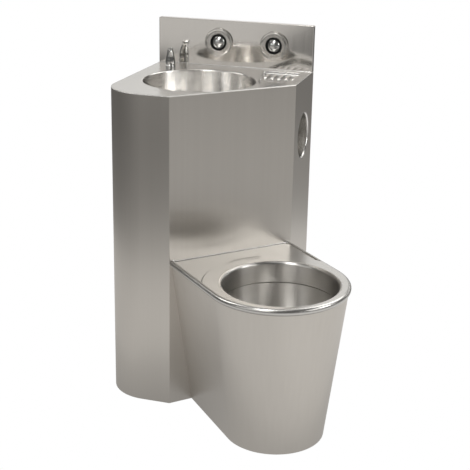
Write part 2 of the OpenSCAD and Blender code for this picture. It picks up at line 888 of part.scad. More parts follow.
module valve_bracket() {
    w = 24;
    z = rail_z - 4;
    color(satin) difference() {
        translate([valve_c[0] - w / 2, valve_c[1], z])
            cube([w, rail_front - valve_c[1], 2 * angle_t]);
        on_valve(z - 1) cylinder(h = 2 * angle_t + 2, r = flush_valve_r);
    }
}

stop_socket = 50;
supply_route = [
    [inlet_x, -stop_socket, supply_z],
    [inlet_x, -bubbler_y, supply_z],
    [bubbler_c[0], -bubbler_y, supply_z],
    [bubbler_c[0], -bubbler_y, basin_valve_low - 8]
];

module supply_pipe() {
    color(brass_tone) pipe(supply_route, supply_bend_r, supply_r, supply_r - 1.5);
}

module supply_tee() {
    r = supply_r + 4;
    color(brass_tone) difference() {
        union() {
            translate([valve_c[0] - tee_run, -bubbler_y, supply_z]) rotate([0, 90, 0])
                cylinder(h = 2 * tee_run, r = r);
            along([valve_c[0], -bubbler_y, supply_z], [0, -1, 0])
                cylinder(h = -bubbler_y - branch_y, r = r);
        }
        translate([valve_c[0] - tee_run - 1, -bubbler_y, supply_z]) rotate([0, 90, 0])
            cylinder(h = 2 * tee_run + 2, r = supply_r);
        along([valve_c[0], -bubbler_y, supply_z], [0, -1, 0])
            cylinder(h = 1 - bubbler_y - branch_y, r = supply_r - 2);
    }
}

inlet_r = 10.5;
inlet_len = 14;

module stop_valve() {
    body_r = 17;
    body_len = 42;
    spindle_r = 9;
    spindle_h = body_r + 6;
    spindle_z = inlet_len + body_len / 2;
    slot = 2;
    color(brass_tone) translate([inlet_x, 0, supply_z]) rotate([90, 0, 0]) difference() {
        union() {
            cylinder(h = inlet_len + 2, r = inlet_r);
            translate([0, 0, inlet_len]) cylinder(h = body_len, r = body_r);
            translate([0, 0, spindle_z]) rotate([-90, 0, 0]) cylinder(h = spindle_h, r = spindle_r);
        }
        translate([0, 0, stop_socket]) cylinder(h = body_len, r = supply_r);
        translate([-spindle_r, spindle_h - slot, spindle_z - slot / 2]) cube([2 * spindle_r, slot + 1, slot]);
        translate([0, 0, -1]) cylinder(h = 30, r = inlet_r - 3.5);
    }
}

module flush_pipe() {
    color(polished) on_slant() pipe([
        [valve_back, 0, flush_valve_low - 7],
        [valve_back, 0, flush_z],
        [bowl_out - channel_r + 3, 0, flush_z]
    ], flush_bend_r, flush_r, flush_r - 1.5);
}

// Pan

// Outline with straight sides and a round front, w half wide
module pan_outline(w) {
    translate([0, -w]) square([pan_straight, 2 * w]);
    intersection() {
        translate([pan_straight, 0]) circle(w, $fn = 128);
        translate([pan_straight, -w]) square([w, 2 * w]);
    }
}

// Lowered rear part of the pan's deck, grown by e
module recess_plan(e) {
    w = pan_w - border_w + e;
    difference() {
        translate([0, -w]) square([bowl_out - 80, 2 * w]);
        translate([bowl_out, 0]) circle(ring_arc_r - e, $fn = 128);
    }
}

// Half of a rolled edge, outside the crest
module edge_section() {
    intersection() {
        translate([crest_w, pan_z - roll_edge_r]) difference() {
            circle(roll_edge_r);
            circle(roll_edge_r - sheet);
        }
        translate([crest_w, 0]) square([2 * roll_edge_r, pan_z]);
    }
}

module pan_deck() {
    low = pan_z - recess_h - sheet;
    color(satin) on_slant() {
        translate([0, 0, pan_z - sheet]) linear_extrude(sheet) difference() {
            pan_outline(crest_w);
            translate([bowl_out, 0]) circle(pan_rim_r, $fn = 128);
            recess_plan(0);
        }
        translate([0, 0, low]) linear_extrude(recess_h) difference() {
            recess_plan(sheet);
            recess_plan(0);
        }
        translate([0, 0, low]) linear_extrude(sheet) recess_plan(0);
        for (side = [0, 1]) mirror([0, side, 0]) rotate([90, 0, 90])
            linear_extrude(pan_straight) edge_section();
        translate([pan_straight, 0, 0]) rotate([0, 0, -90])
            rotate_extrude(angle = 180, $fn = 128) edge_section();
    }
}

module pan_collar() {
    low = pan_z - collar_h;
    lip = [pan_rim_r, pan_z - pan_lip_r];
    section = concat(
        arc(lip, pan_lip_r, 90, 180, 6),
        [[collar_r, low], [collar_r + sheet, low]],
        arc(lip, pan_lip_r - sheet, 180, 90, 6)
    );
    color(polished) on_slant() translate([bowl_out, 0, 0]) rotate_extrude($fn = 128) polygon(section);
}

// Section of the lower bowl: flush channel, shoulder, curve and throat
function bowl_section() =
    let (
        edge = collar_r + 3,
        top = pan_z - sheet,
        wide = edge - soil_in_r,
        drop = shoulder_z - throat_z,
        inner = [
            for (a = [0:8:80])
                [soil_in_r + wide * cos(a), shoulder_z - (drop - 12) * sin(a)]
        ],
        outer = [
            for (a = [80:-8:4])
                [soil_in_r + (wide + sheet) * cos(a), shoulder_z - (drop - 12 + sheet) * sin(a)]
        ]
    ) concat(
        [[channel_r, top], [channel_r, shoulder_z + 8], [edge + 2.5, shoulder_z + 1.5]],
        inner,
        [[soil_in_r, throat_z], [soil_in_r, throat_end], [soil_r, throat_end], [soil_r, throat_z - 2]],
        outer,
        [[edge + 3.5, shoulder_z - 0.5], [channel_r + sheet, shoulder_z + 7], [channel_r + sheet, top]]
    );

module pan_bowl() {
    color(polished) difference() {
        on_slant() translate([bowl_out, 0, 0]) rotate_extrude($fn = 128) polygon(bowl_section());
        along(pan_point(bowl_out - channel_r - 20, 0, flush_z), [1, -1, 0])
            cylinder(h = 40, r = flush_r + 0.3);
    }
}

module pan_trap() {
    far_n = bowl_out - 2 * trap_bend_r;
    color(polished) on_slant() pipe([
        [bowl_out, 0, throat_end],
        [bowl_out, 0, trap_low_z],
        [far_n, 0, trap_low_z],
        [far_n, 0, soil_z],
        [soil_join, 0, soil_z]
    ], trap_bend_r, soil_r, soil_in_r, $fn = 40);
}

module soil_coupling() {
    color(rubber_tone) along(pan_point(soil_join - 14, 0, soil_z), [1, -1, 0])
        ring(soil_r + coupling_t, soil_r, 28);
}

module soil_elbow() {
    color(polished) on_slant() pipe([
        [soil_join, 0, soil_z],
        [-soil_turn, 0, soil_z],
        seen_from_pan(soil_x, soil_elbow_y, soil_z)
    ], soil_bend_r, soil_r, soil_in_r);
}

module soil_pipe() {
    color(polished) along([soil_x, soil_elbow_y, soil_z], [0, 1, 0])
        ring(soil_r, soil_in_r, -30 - soil_elbow_y);
}

spigot_len = 80;

module soil_outlet() {
    color(zinc_tone) along([soil_x, -spigot_len, soil_z], [0, 1, 0])
        ring(spigot_r, soil_r, spigot_len);
}

// Slice of the skirt's solid at height z, drawn in by d and carried behind the front by back
module skirt_slice(z, d, back) {
    k = z / deck_low;
    rear_w = foot_rear_w + (skirt_top_w - foot_rear_w) * k - d;
    r = foot_r + (skirt_top_w - foot_r) * k - d;
    centre = foot_straight + (pan_straight - foot_straight) * k;
    translate([0, 0, z]) {
        translate([-back, -rear_w, 0]) cube([1, 2 * rear_w, eps]);
        translate([centre, 0, 0]) cylinder(h = eps, r = r, $fn = 64);
    }
}

module pan_skirt() {
    color(satin) on_slant() difference() {
        hull() {
            skirt_slice(0, 0, 0);
            skirt_slice(deck_low - eps, 0, 0);
        }
        hull() {
            skirt_slice(-2, sheet, 3);
            skirt_slice(deck_low + 2, sheet, 3);
        }
    }
}

// Foot of the skirt, drawn in by d
module foot_plan(d) {
    r = foot_r - d;
    w = foot_rear_w - d;
    polygon([[0, -w], [foot_straight, -r], [foot_straight, r], [0, w]]);
    intersection() {
        translate([foot_straight, 0]) circle(r, $fn = 96);
        translate([foot_straight, -r]) square([r, 2 * r]);
    }
}

module pan_base() {
    gap = 0.3;
    color(satin) on_slant() linear_extrude(base_t) difference() {
        foot_plan(sheet + gap);
        translate([-1, 0]) foot_plan(sheet + 28);
        translate([-1, -foot_rear_w + sheet + 28]) square([2, 2 * (foot_rear_w - sheet - 28)]);
    }
}

module earth_stud() {
    z = 60;
    edge = left_x + sheet + angle_t;
    color(brass_tone) translate([edge, -angle_w / 2, z]) rotate([0, 90, 0]) {
        cylinder(h = 18, r = 3);
        translate([0, 0, 2]) cylinder(h = 5, r = 5.8, $fn = 6);
        cylinder(h = 2, r = 7);
    }
}

left_wrap();
front_panel();
right_side();
top_deck();
splashback();
base_frame();
rear_angle(-1);  // rear_angle_left
rear_angle(1);  // rear_angle_right
deck_channel();
panel_channel();
valve_rail();
basin_bowl();
basin_strainer();
basin_waste();
waste_gasket();
waste_nut();
basin_trap();
basin_outlet();
slip_nuts();
soap_tray();
bubbler();
bubbler_washer();
bubbler_nut();
bubbler_pipe();
roll_can();
button_flange(button_xs[0]);  // button_flange_left
button_flange(button_xs[1]);  // button_flange_right
button_ring(button_xs[0]);  // button_ring_left
button_ring(button_xs[1]);  // button_ring_right
push_button(button_xs[0]);  // push_button_left
push_button(button_xs[1]);  // push_button_right
bellows(button_xs[0]);  // bellows_left
bellows(button_xs[1]);  // bellows_right
air_capsule(button_xs[0]);  // air_capsule_left
air_capsule(button_xs[1]);  // air_capsule_right
capsule_nut(button_xs[0]);  // capsule_nut_left
capsule_nut(button_xs[1]);  // capsule_nut_right
air_tube(tube_left_route);  // air_tube_left
air_tube(tube_right_route);  // air_tube_right
basin_valve();
flush_valve();
flush_valve_cap();
cap_bolts();
valve_bracket();
supply_pipe();
supply_tee();
stop_valve();
flush_pipe();
pan_deck();
pan_collar();
pan_bowl();
pan_trap();
soil_coupling();
soil_elbow();
soil_pipe();
soil_outlet();
pan_skirt();
pan_base();
earth_stud();
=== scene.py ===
import math

import bmesh
import bpy
from mathutils import Matrix, Vector


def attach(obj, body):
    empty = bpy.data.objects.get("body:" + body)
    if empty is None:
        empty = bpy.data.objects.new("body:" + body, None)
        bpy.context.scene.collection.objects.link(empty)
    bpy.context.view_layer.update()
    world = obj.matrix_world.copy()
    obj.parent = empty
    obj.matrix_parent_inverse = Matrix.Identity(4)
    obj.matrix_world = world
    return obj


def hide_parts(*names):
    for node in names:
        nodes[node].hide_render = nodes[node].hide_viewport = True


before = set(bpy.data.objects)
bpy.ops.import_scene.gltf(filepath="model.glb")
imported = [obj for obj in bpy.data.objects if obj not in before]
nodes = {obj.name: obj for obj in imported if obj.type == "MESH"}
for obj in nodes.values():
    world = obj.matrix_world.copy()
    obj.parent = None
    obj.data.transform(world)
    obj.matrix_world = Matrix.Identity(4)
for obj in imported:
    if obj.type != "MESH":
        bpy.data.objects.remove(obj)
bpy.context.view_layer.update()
scene = bpy.context.scene
print("frame loaded:", len(nodes), "pieces")

# sizes are in metres and angles in degrees, X runs along the wall and the room is at -Y

weldDistance = 1e-6
sheetAngle = 32  # folds sharper than this keep a sharp edge
bowlSteps = 160  # faces round each bowl
diagonal = math.sqrt(2)


# mesh helpers: a part is a pair of points and faces

def polar(degrees):
    a = math.radians(degrees)
    return math.cos(a), math.sin(a)


def quarterTurn(steps):
    # cosine and sine at even steps from 0 to 90 degrees
    return [polar(90 * k / steps) for k in range(steps + 1)]


def arcPoints(cx, cy, radius, start, stop, steps):
    turns = [polar(start + (stop - start) * i / steps) for i in range(steps + 1)]
    return [(cx + radius * c, cy + radius * s) for c, s in turns]


def circleLoop(x, y, radius, steps=128):
    return arcPoints(x, y, radius, 0, 360 - 360 / steps, steps - 1)


def joinRings(rings, closed=True, firstCap=False, lastCap=False):
    # rings with the same number of points, joined one to the next
    count = len(rings[0])
    points = [p for ring in rings for p in ring]
    faces = []
    for k in range(len(rings) - 1):
        for i in range(count if closed else count - 1):
            j = (i + 1) % count
            faces.append((k * count + i, k * count + j, (k + 1) * count + j, (k + 1) * count + i))
    if firstCap:
        faces.append(tuple(range(count)))
    if lastCap:
        faces.append(tuple(range((len(rings) - 1) * count, len(rings) * count)))
    return points, faces


def together(*parts):
    points, faces = [], []
    for somePoints, someFaces in parts:
        start = len(points)
        points += list(somePoints)
        faces += [tuple(start + i for i in f) for f in someFaces]
    return points, faces


def turned(section, steps=128):
    # a section of (radius, height) turned round the z axis
    rings = []
    for k in range(steps):
        a = 2 * math.pi * k / steps
        rings.append([(r * math.cos(a), r * math.sin(a), z) for r, z in section])
    rings.append(rings[0])
    return joinRings(rings)


def moved(part, shift):
    return [Vector(p) + Vector(shift) for p in part[0]], part[1]


def filledPlate(outer, holes, z):
    # a flat face inside the outer loop, with holes
    work = bmesh.new()
    edges = []
    for loop in [outer] + list(holes):
        made = [work.verts.new((p[0], p[1], z)) for p in loop]
        edges += [work.edges.new((made[i], made[(i + 1) % len(made)])) for i in range(len(made))]
    bmesh.ops.triangle_fill(work, use_beauty=True, edges=edges)
    work.verts.index_update()
    points = [tuple(v.co) for v in work.verts]
    faces = [tuple(v.index for v in f.verts) for f in work.faces]
    work.free()
    return points, faces


def atHeight(loop, z):
    return [(p[0], p[1], z) for p in loop]


def unit2(x, y):
    size = math.hypot(x, y)
    return x / size, y / size


def roundedLoop(corners, radius, inset, steps):
    # corners in anticlockwise order, drawn in by inset, each corner rounded
    count = len(corners)
    ways = [unit2(corners[(i + 1) % count][0] - corners[i][0], corners[(i + 1) % count][1] - corners[i][1])
            for i in range(count)]
    loop = []
    for i in range(count):
        u, v = ways[i - 1], ways[i]
        mx, my = unit2(-u[1] - v[1], u[0] + v[0])
        turn = math.acos(max(-1.0, min(1.0, u[0] * v[0] + u[1] * v[1])))
        away, r = inset / math.cos(turn / 2), radius - inset
        back = r * math.tan(turn / 2)
        sx = corners[i][0] + mx * away - u[0] * back
        sy = corners[i][1] + my * away - u[1] * back
        cx, cy = sx - u[1] * r, sy + u[0] * r
        start = math.degrees(math.atan2(sy - cy, sx - cx))
        loop += arcPoints(cx, cy, r, start, start + math.degrees(turn), steps)
    return loop


def filletSection(size, base, back, sink):
    # hollow weld fillet as (distance from the upright face, height), with its hidden back and foot
    curve = [(size * (1 - s), base + size * (1 - c)) for c, s in quarterTurn(6)]
    return curve + [(-back, base + size), (-back, base - sink), (size, base - sink)]


def newObject(name, data, place=(0, 0, 0)):
    made = bpy.data.objects.new(name, data)
    made.location = place
    scene.collection.objects.link(made)
    return made


def solidMesh(name, part, origin=(0, 0, 0)):
    mesh = bpy.data.meshes.new(name)
    mesh.from_pydata([Vector(p) - Vector(origin) for p in part[0]], [], part[1])
    mesh.validate()
    work = bmesh.new()
    work.from_mesh(mesh)
    bmesh.ops.remove_doubles(work, verts=work.verts, dist=weldDistance)
    bmesh.ops.recalc_face_normals(work, faces=work.faces)
    work.to_mesh(mesh)
    work.free()
    return mesh


def softenEdges(piece, sharp, weighted):
    piece.data.shade_smooth()
    piece.data.set_sharp_from_angle(angle=math.radians(sharp))
    if weighted:
        piece.modifiers.new("evenNormals", "WEIGHTED_NORMAL").keep_sharp = True


def addPiece(name, part, finish, slotName, stands=(), body="unit", origin=(0, 0, 0), sharp=sheetAngle,
             weighted=True):
    mesh = solidMesh(name, part, origin)
    mesh.materials.append(finish)
    made = newObject(name, mesh, origin)
    softenEdges(made, sharp, weighted)
    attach(made, body)
    if stands:
        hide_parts(*stands)
    return made


def cutter(place, radius, axis, steps, length=0.02):
    # a plug that goes through a sheet along the axis
    rings = [[(h, a, b) if axis == "x" else (a, h, b) for a, b in circleLoop(0, 0, radius, steps)]
             for h in (-length / 2, length / 2)]
    plug = joinRings(rings, firstCap=True, lastCap=True)
    return newObject("cutter", solidMesh("cutter", moved(plug, place)))


def cutHoles(piece, cutters):
    for tool in cutters:
        cut = piece.modifiers.new("cut", "BOOLEAN")
        cut.operation = "DIFFERENCE"
        cut.solver = "EXACT"
        cut.object = tool
    bpy.context.view_layer.update()
    done = bpy.data.meshes.new_from_object(piece.evaluated_get(bpy.context.evaluated_depsgraph_get()))
    piece.modifiers.clear()
    piece.data = done
    for tool in cutters:
        bpy.data.objects.remove(tool)
    softenEdges(piece, sheetAngle, weighted=True)


# finishes

maskRange = (0.3, 0.7)  # where the noise masks do their work
streakShare = 0.6  # the rest of a steel's mask is smudges
plainStreaks = 0.2  # streak scale of the cast, moulded and rubber parts
bumpDepth = dict(grain=0.0002, wave=0.004, cast=0.0003)


def wire(tree, fromNode, fromSocket, toNode, toSocket):
    tree.links.new(fromNode.outputs[fromSocket], toNode.inputs[toSocket])


def newNode(tree, kind, inputs=None, **settings):
    # an input is a plain value, or a pair of a node and its output
    made = tree.nodes.new("ShaderNode" + kind)
    for key, value in settings.items():
        setattr(made, key, value)
    for key, value in (inputs or {}).items():
        if isinstance(value, tuple) and isinstance(value[0], bpy.types.Node):
            wire(tree, *value, made, key)
        else:
            made.inputs[key].default_value = value
    return made


def mathNode(tree, operation, first, second=None, clamp=False):
    inputs = {0: first} if second is None else {0: first, 1: second}
    return newNode(tree, "Math", inputs, operation=operation, use_clamp=clamp), 0


def newGroup(name, inputs, outputs):
    group = bpy.data.node_groups.new(name, "ShaderNodeTree")
    for label, value in inputs.items():
        kind = "NodeSocketVector" if isinstance(value, tuple) else "NodeSocketFloat"
        group.interface.new_socket(name=label, in_out="INPUT", socket_type=kind).default_value = value
    for label in outputs:
        group.interface.new_socket(name=label, in_out="OUTPUT", socket_type="NodeSocketFloat")
    return group, group.nodes.new("NodeGroupInput"), group.nodes.new("NodeGroupOutput")


def grainGroup():
    # fine brushed lines along one direction: the direction is the axis with the small Stretch value
    group, start, end = newGroup("brushedGrain", {"Stretch": (600.0, 600.0, 4.0), "Streak Scale": 0.12},
                                 ("Fine", "Streaks", "Smudge"))
    coords = newNode(group, "TexCoord")
    stretched = newNode(group, "VectorMath", {0: (coords, "Object"), 1: (start, "Stretch")},
                        operation="MULTIPLY")
    wide = newNode(group, "VectorMath", {0: (stretched, 0), "Scale": (start, "Streak Scale")},
                   operation="SCALE")
    noises = (("Fine", (stretched, 0), {"Scale": 1.0, "Detail": 3.0}),
              ("Streaks", (wide, 0), {"Scale": 1.0, "Detail": 2.0}),
              ("Smudge", (coords, "Object"), {"Scale": 7.0, "Detail": 4.0, "Roughness": 0.6}))
    for label, source, look in noises:
        noise = newNode(group, "TexNoise", {"Vector": source, **look})
        wire(group, noise, 0, end, label)
    return group


def spreadGroup():
    # remaps a 0 to 1 mask to a low and a high value
    group, start, end = newGroup("spreadValue", {"Mask": 0.5, "Low": 0.2, "High": 0.4}, ("Value",))
    remap = newNode(group, "MapRange", {
        "Value": (start, "Mask"), "From Min": maskRange[0], "From Max": maskRange[1],
        "To Min": (start, "Low"), "To Max": (start, "High")})
    wire(group, remap, 0, end, "Value")
    return group


brushedGrain = grainGroup()
spreadValue = spreadGroup()


def newFinish(name, metal, stretch, streakScale):
    made = bpy.data.materials.new(name)
    made.use_nodes = True
    tree = made.node_tree
    shader = tree.nodes["Principled BSDF"]
    shader.inputs["Metallic"].default_value = metal
    grain = newNode(tree, "Group", {"Stretch": stretch, "Streak Scale": streakScale}, node_tree=brushedGrain)
    return made, tree, shader, grain


def roughAndTint(tree, shader, look, roughMask, tintMask):
    rough = newNode(tree, "Group", {"Mask": roughMask, "Low": look["roughLow"], "High": look["roughHigh"]},
                    node_tree=spreadValue)
    wire(tree, rough, 0, shader, "Roughness")
    tint = newNode(tree, "ValToRGB", {0: tintMask})
    for stop, at, colour in zip(tint.color_ramp.elements, maskRange, (look["dark"], look["light"])):
        stop.position = at
        stop.color = (*colour, 1)
    wire(tree, tint, 0, shader, "Base Color")


def steelFinish(name, look):
    # brushed or polished steel
    made, tree, shader, grain = newFinish(name, 1.0, look["stretch"], look["streakScale"])
    shader.inputs["Anisotropic"].default_value = look.get("anisotropic", 0.0)
    shader.inputs["Anisotropic Rotation"].default_value = look.get("turn", 0.0)
    mask = mathNode(tree, "ADD", mathNode(tree, "MULTIPLY", (grain, "Streaks"), streakShare),
                    mathNode(tree, "MULTIPLY", (grain, "Smudge"), 1 - streakShare))
    roughAndTint(tree, shader, look, mask, mask)
    # slow waviness of the sheet under the fine grain
    wave = newNode(tree, "Bump", {"Strength": look["wave"], "Distance": bumpDepth["wave"],
                                  "Height": (grain, "Smudge")})
    relief = newNode(tree, "Bump", {"Strength": look["bump"], "Distance": bumpDepth["grain"],
                                    "Height": (grain, "Fine"), "Normal": (wave, 0)})
    wire(tree, relief, 0, shader, "Normal")
    wire(tree, newNode(tree, "Tangent", direction_type="RADIAL", axis="Z"), 0, shader, "Tangent")
    return made


def plainFinish(name, look):
    # cast, moulded and rubber parts
    made, tree, shader, grain = newFinish(name, look["metal"], (look["scale"],) * 3, plainStreaks)
    shader.inputs["Specular IOR Level"].default_value = look.get("specular", 0.5)
    roughAndTint(tree, shader, look, (grain, "Smudge"), (grain, "Streaks"))
    relief = newNode(tree, "Bump", {"Strength": look["bump"], "Distance": bumpDepth["cast"],
                                    "Height": (grain, "Fine")})
    wire(tree, relief, 0, shader, "Normal")
    return made


uprightSteel = steelFinish("uprightSteel", dict(
    anisotropic=0.75, stretch=(900.0, 900.0, 5.0), streakScale=0.1, roughLow=0.305, roughHigh=0.335,
    dark=(0.615, 0.585, 0.545), light=(0.64, 0.61, 0.57), bump=0.08, wave=0.03))
deckSteel = steelFinish("deckSteel", dict(
    anisotropic=0.3, stretch=(6.0, 700.0, 700.0), streakScale=0.1, roughLow=0.22, roughHigh=0.28,
    dark=(0.62, 0.61, 0.59), light=(0.645, 0.635, 0.615), bump=0.05, wave=0.008))
splashSteel = steelFinish("splashSteel", dict(
    anisotropic=0.4, stretch=(900.0, 900.0, 6.0), streakScale=0.1, roughLow=0.07, roughHigh=0.12,
    dark=(0.68, 0.655, 0.62), light=(0.72, 0.695, 0.66), bump=0.03, wave=0.006))
bowlSteel = steelFinish("bowlSteel", dict(
    anisotropic=0.95, turn=0.25, stretch=(20.0, 20.0, 900.0), streakScale=0.1, roughLow=0.20, roughHigh=0.24,
    dark=(0.86, 0.845, 0.82), light=(0.90, 0.885, 0.86), bump=0.02, wave=0.004))
panSteel = steelFinish("panSteel", dict(
    anisotropic=0.9, turn=0.25, stretch=(20.0, 20.0, 900.0), streakScale=0.1, roughLow=0.28, roughHigh=0.32,
    dark=(0.67, 0.655, 0.63), light=(0.71, 0.695, 0.67), bump=0.03, wave=0.006))
buttonSteel = steelFinish("buttonSteel", dict(
    stretch=(500.0, 500.0, 500.0), streakScale=0.2, roughLow=0.16, roughHigh=0.22,
    dark=(0.63, 0.61, 0.58), light=(0.67, 0.65, 0.62), bump=0.03, wave=0.004))
chrome = steelFinish("chrome", dict(
    stretch=(300.0, 300.0, 300.0), streakScale=0.2, roughLow=0.10, roughHigh=0.15,
    dark=(0.60, 0.60, 0.59), light=(0.67, 0.67, 0.66), bump=0.01, wave=0.01))
pipeSteel = steelFinish("pipeSteel", dict(
    anisotropic=0.3, stretch=(400.0, 400.0, 12.0), streakScale=0.2, roughLow=0.2, roughHigh=0.35,
    dark=(0.50, 0.49, 0.47), light=(0.60, 0.59, 0.57), bump=0.1, wave=0.02))
brass = plainFinish("brass", dict(metal=1.0, scale=500.0, roughLow=0.25, roughHigh=0.4, bump=0.12,
                                  dark=(0.58, 0.42, 0.19), light=(0.68, 0.51, 0.26)))
zinc = plainFinish("zinc", dict(metal=1.0, scale=350.0, roughLow=0.35, roughHigh=0.5, bump=0.2,
                                dark=(0.36, 0.37, 0.38), light=(0.47, 0.48, 0.49)))
blackRubber = plainFinish("blackRubber", dict(
    metal=0.0, specular=0.25, scale=600.0, roughLow=0.5, roughHigh=0.6, bump=0.1,
    dark=(0.004, 0.004, 0.004), light=(0.008, 0.008, 0.008)))
airHose = plainFinish("airHose", dict(metal=0.0, scale=300.0, roughLow=0.3, roughHigh=0.42, bump=0.05,
                                      dark=(0.05, 0.1, 0.24), light=(0.08, 0.14, 0.3)))
print("finishes made")

# camera

camera = dict(place=(0.8837, -3.0060, 1.4422), yaw=16.29, pitch=17.86, roll=1.1, lens=82.49, sensor=36,
              shiftY=-0.0596, farEnd=100)
cameraData = bpy.data.cameras.new("photoCamera")
cameraData.lens = camera["lens"]
cameraData.sensor_width = camera["sensor"]
cameraData.sensor_fit = "HORIZONTAL"
cameraData.shift_y = camera["shiftY"]
cameraData.clip_end = camera["farEnd"]
cameraData.dof.use_dof = False
photoCamera = newObject("photoCamera", cameraData)
(yawX, yawY), (pitchFlat, pitchDown), (rollX, rollY) = (polar(camera[k]) for k in ("yaw", "pitch", "roll"))
ahead = Vector((-yawY * pitchFlat, yawX * pitchFlat, -pitchDown))
level = Vector((yawX, yawY, 0))
upward = level.cross(ahead)
sideways = level * rollX + upward * rollY
rolledUp = upward * rollX - level * rollY
rows = [(sideways[i], rolledUp[i], -ahead[i], camera["place"][i]) for i in range(3)]
photoCamera.matrix_world = Matrix(rows + [(0, 0, 0, 1)])
scene.camera = photoCamera
print("camera set")

# cabinet

cabinet = dict(width=0.465, leftDepth=0.478, faceWidth=0.198, cornerRadius=0.115, bendRadius=0.004,
               deckHeight=0.868, sheet=0.002, deckEdge=0.0035)
leftX, rightX = -cabinet["width"] / 2, cabinet["width"] / 2
faceX = leftX + cabinet["faceWidth"]
slant = faceX + cabinet["leftDepth"]
rightY = rightX - slant
bendRun = cabinet["bendRadius"] * math.tan(math.radians(45 / 2))  # the slanted front turns 45 degrees
deckTop = cabinet["deckHeight"]
wallTop = deckTop - cabinet["sheet"]
middle = ((faceX + rightX) / 2, (rightY - cabinet["leftDepth"]) / 2)


def leftLoop(d):
    cx, cy = leftX + cabinet["cornerRadius"], -cabinet["leftDepth"] + cabinet["cornerRadius"]
    bx, by = faceX - bendRun, -cabinet["leftDepth"] + cabinet["bendRadius"]
    return ([(leftX + d, 0.0)] + arcPoints(cx, cy, cabinet["cornerRadius"] - d, 180, 270, steps=48)
            + arcPoints(bx, by, cabinet["bendRadius"] - d, 270, 315, steps=8))


def rightLoop(d):
    sx, sy = rightX - cabinet["bendRadius"], rightY + bendRun
    return arcPoints(sx, sy, cabinet["bendRadius"] - d, -45, 0, steps=8) + [(rightX - d, 0.0)]


def wallStrip(loopAt):
    # a sheet as high as the cabinet, between the loop and the loop drawn in by its thickness
    outer, inner = loopAt(0), loopAt(cabinet["sheet"])
    outline = outer + inner[::-1]
    count = len(outline)
    points = atHeight(outline, 0.0) + atHeight(outline, wallTop)
    faces = [(i, (i + 1) % count, count + (i + 1) % count, count + i) for i in range(count)]
    for i in range(len(outer) - 1):
        k = count - 1 - i
        faces.append((i, i + 1, k - 1, k))
        faces.append((count + i, count + i + 1, count + k - 1, count + k))
    return points, faces


addPiece("left_wrap_sheet", wallStrip(leftLoop), uprightSteel, "satin_sheet", ["left_wrap"])

rollOpening = dict(radius=0.067, lip=0.005, depth=0.110, heel=0.012, sheet=0.0015,
                   place=(rightX, -0.104, 0.703))
rightSheet = addPiece("right_side_sheet", wallStrip(rightLoop), uprightSteel, "satin_sheet", ["right_side"],
                      weighted=False)
cutHoles(rightSheet, [cutter(rollOpening["place"], rollOpening["radius"], "x", steps=128)])
print("cabinet walls made")

# basin deck

basin = dict(y=-0.248, margin=0.0024, rim=0.157, lip=0.003, depth=0.125, floorRadius=0.060, slope=10.0,
             seatRadius=0.035, seatRound=0.002, seatDrop=0.003, seatFoot=0.001, drain=0.020, sheet=0.0015)
basinReach = basin["rim"] + basin["margin"]
basinX = slant + basin["y"] - basinReach * diagonal
tray = dict(width=0.112, depth=0.009, side=0.025, back=0.042, front=0.047, end=0.018, corner=0.008,
            basinGap=0.005, rim=0.002, floorRound=0.004, sheet=0.0015, thinEdge=0.2)
trayX, trayFloor = rightX - tray["side"], deckTop - tray["depth"]
spout = dict(x=leftX + 0.0565, y=-0.078, hole=0.0105)
hose = dict(x=(-0.0475, 0.118), y=-0.006, hole=0.004)


def trayCorners():
    n = basinReach - tray["front"] - tray["end"]
    t = math.sqrt((basin["rim"] + tray["basinGap"]) ** 2 - n * n)
    m = n + tray["end"]
    return [
        (trayX - tray["width"], -tray["back"]),
        (basinX + (n + t) / diagonal, basin["y"] + (t - n) / diagonal),
        (basinX + (m + t) / diagonal, basin["y"] + (t - m) / diagonal),
        (trayX, trayX - slant + tray["front"] * diagonal),
        (trayX, -tray["back"]),
    ]


def trayLoop(d):
    return roundedLoop(trayCorners(), tray["corner"], d, steps=8)


def deckLoop(d):
    return leftLoop(d) + rightLoop(d)


def deckPlate():
    edge, t = cabinet["deckEdge"], cabinet["sheet"]
    rings = [atHeight(deckLoop(edge * (1 - s)), wallTop + t * c) for c, s in quarterTurn(6)]
    rings.append(atHeight(deckLoop(t), wallTop))
    holes = [circleLoop(basinX, basin["y"], basin["rim"]), trayLoop(-tray["rim"])[::-1],
             circleLoop(spout["x"], spout["y"], spout["hole"], steps=32)]
    holes += [circleLoop(x, hose["y"], hose["hole"], steps=16) for x in hose["x"]]
    sides = [joinRings([atHeight(h, deckTop), atHeight(h, wallTop)]) for h in holes]
    return together(filledPlate(deckLoop(edge), holes, deckTop), filledPlate(deckLoop(t), holes, wallTop),
                    joinRings(rings), *sides)


addPiece("basin_deck_plate", deckPlate(), deckSteel, "satin_sheet", ["top_deck"])


def basinSection():
    lip, seat, foot, t = basin["lip"], basin["seatRadius"], basin["floorRadius"], basin["sheet"]
    run = basin["rim"] - lip - foot
    a, curve = basin["slope"] - 90, basin["seatRound"]
    floorZ = deckTop - basin["depth"]
    c, s = polar(a)
    turnZ = floorZ + (run + foot * c - seat) * math.tan(math.radians(basin["slope"])) - foot * s
    lipZ, low = deckTop - lip, floorZ - basin["seatDrop"]
    inner = (arcPoints(basin["rim"], lipZ, lip, 90, 180, steps=12)
             + arcPoints(run, turnZ, foot, 0, a, steps=28)
             + arcPoints(seat + curve, floorZ - curve, curve, 100, 180, steps=4)
             + [(seat, low), (basin["drain"], low), (basin["drain"], low - t)])
    outer = ([(seat + t, low - t), (seat + t, floorZ - t - basin["seatFoot"])]
             + arcPoints(run, turnZ, foot + t, a, 0, steps=28)
             + arcPoints(basin["rim"], lipZ, lip - t, 180, 90, steps=12))
    return inner + outer


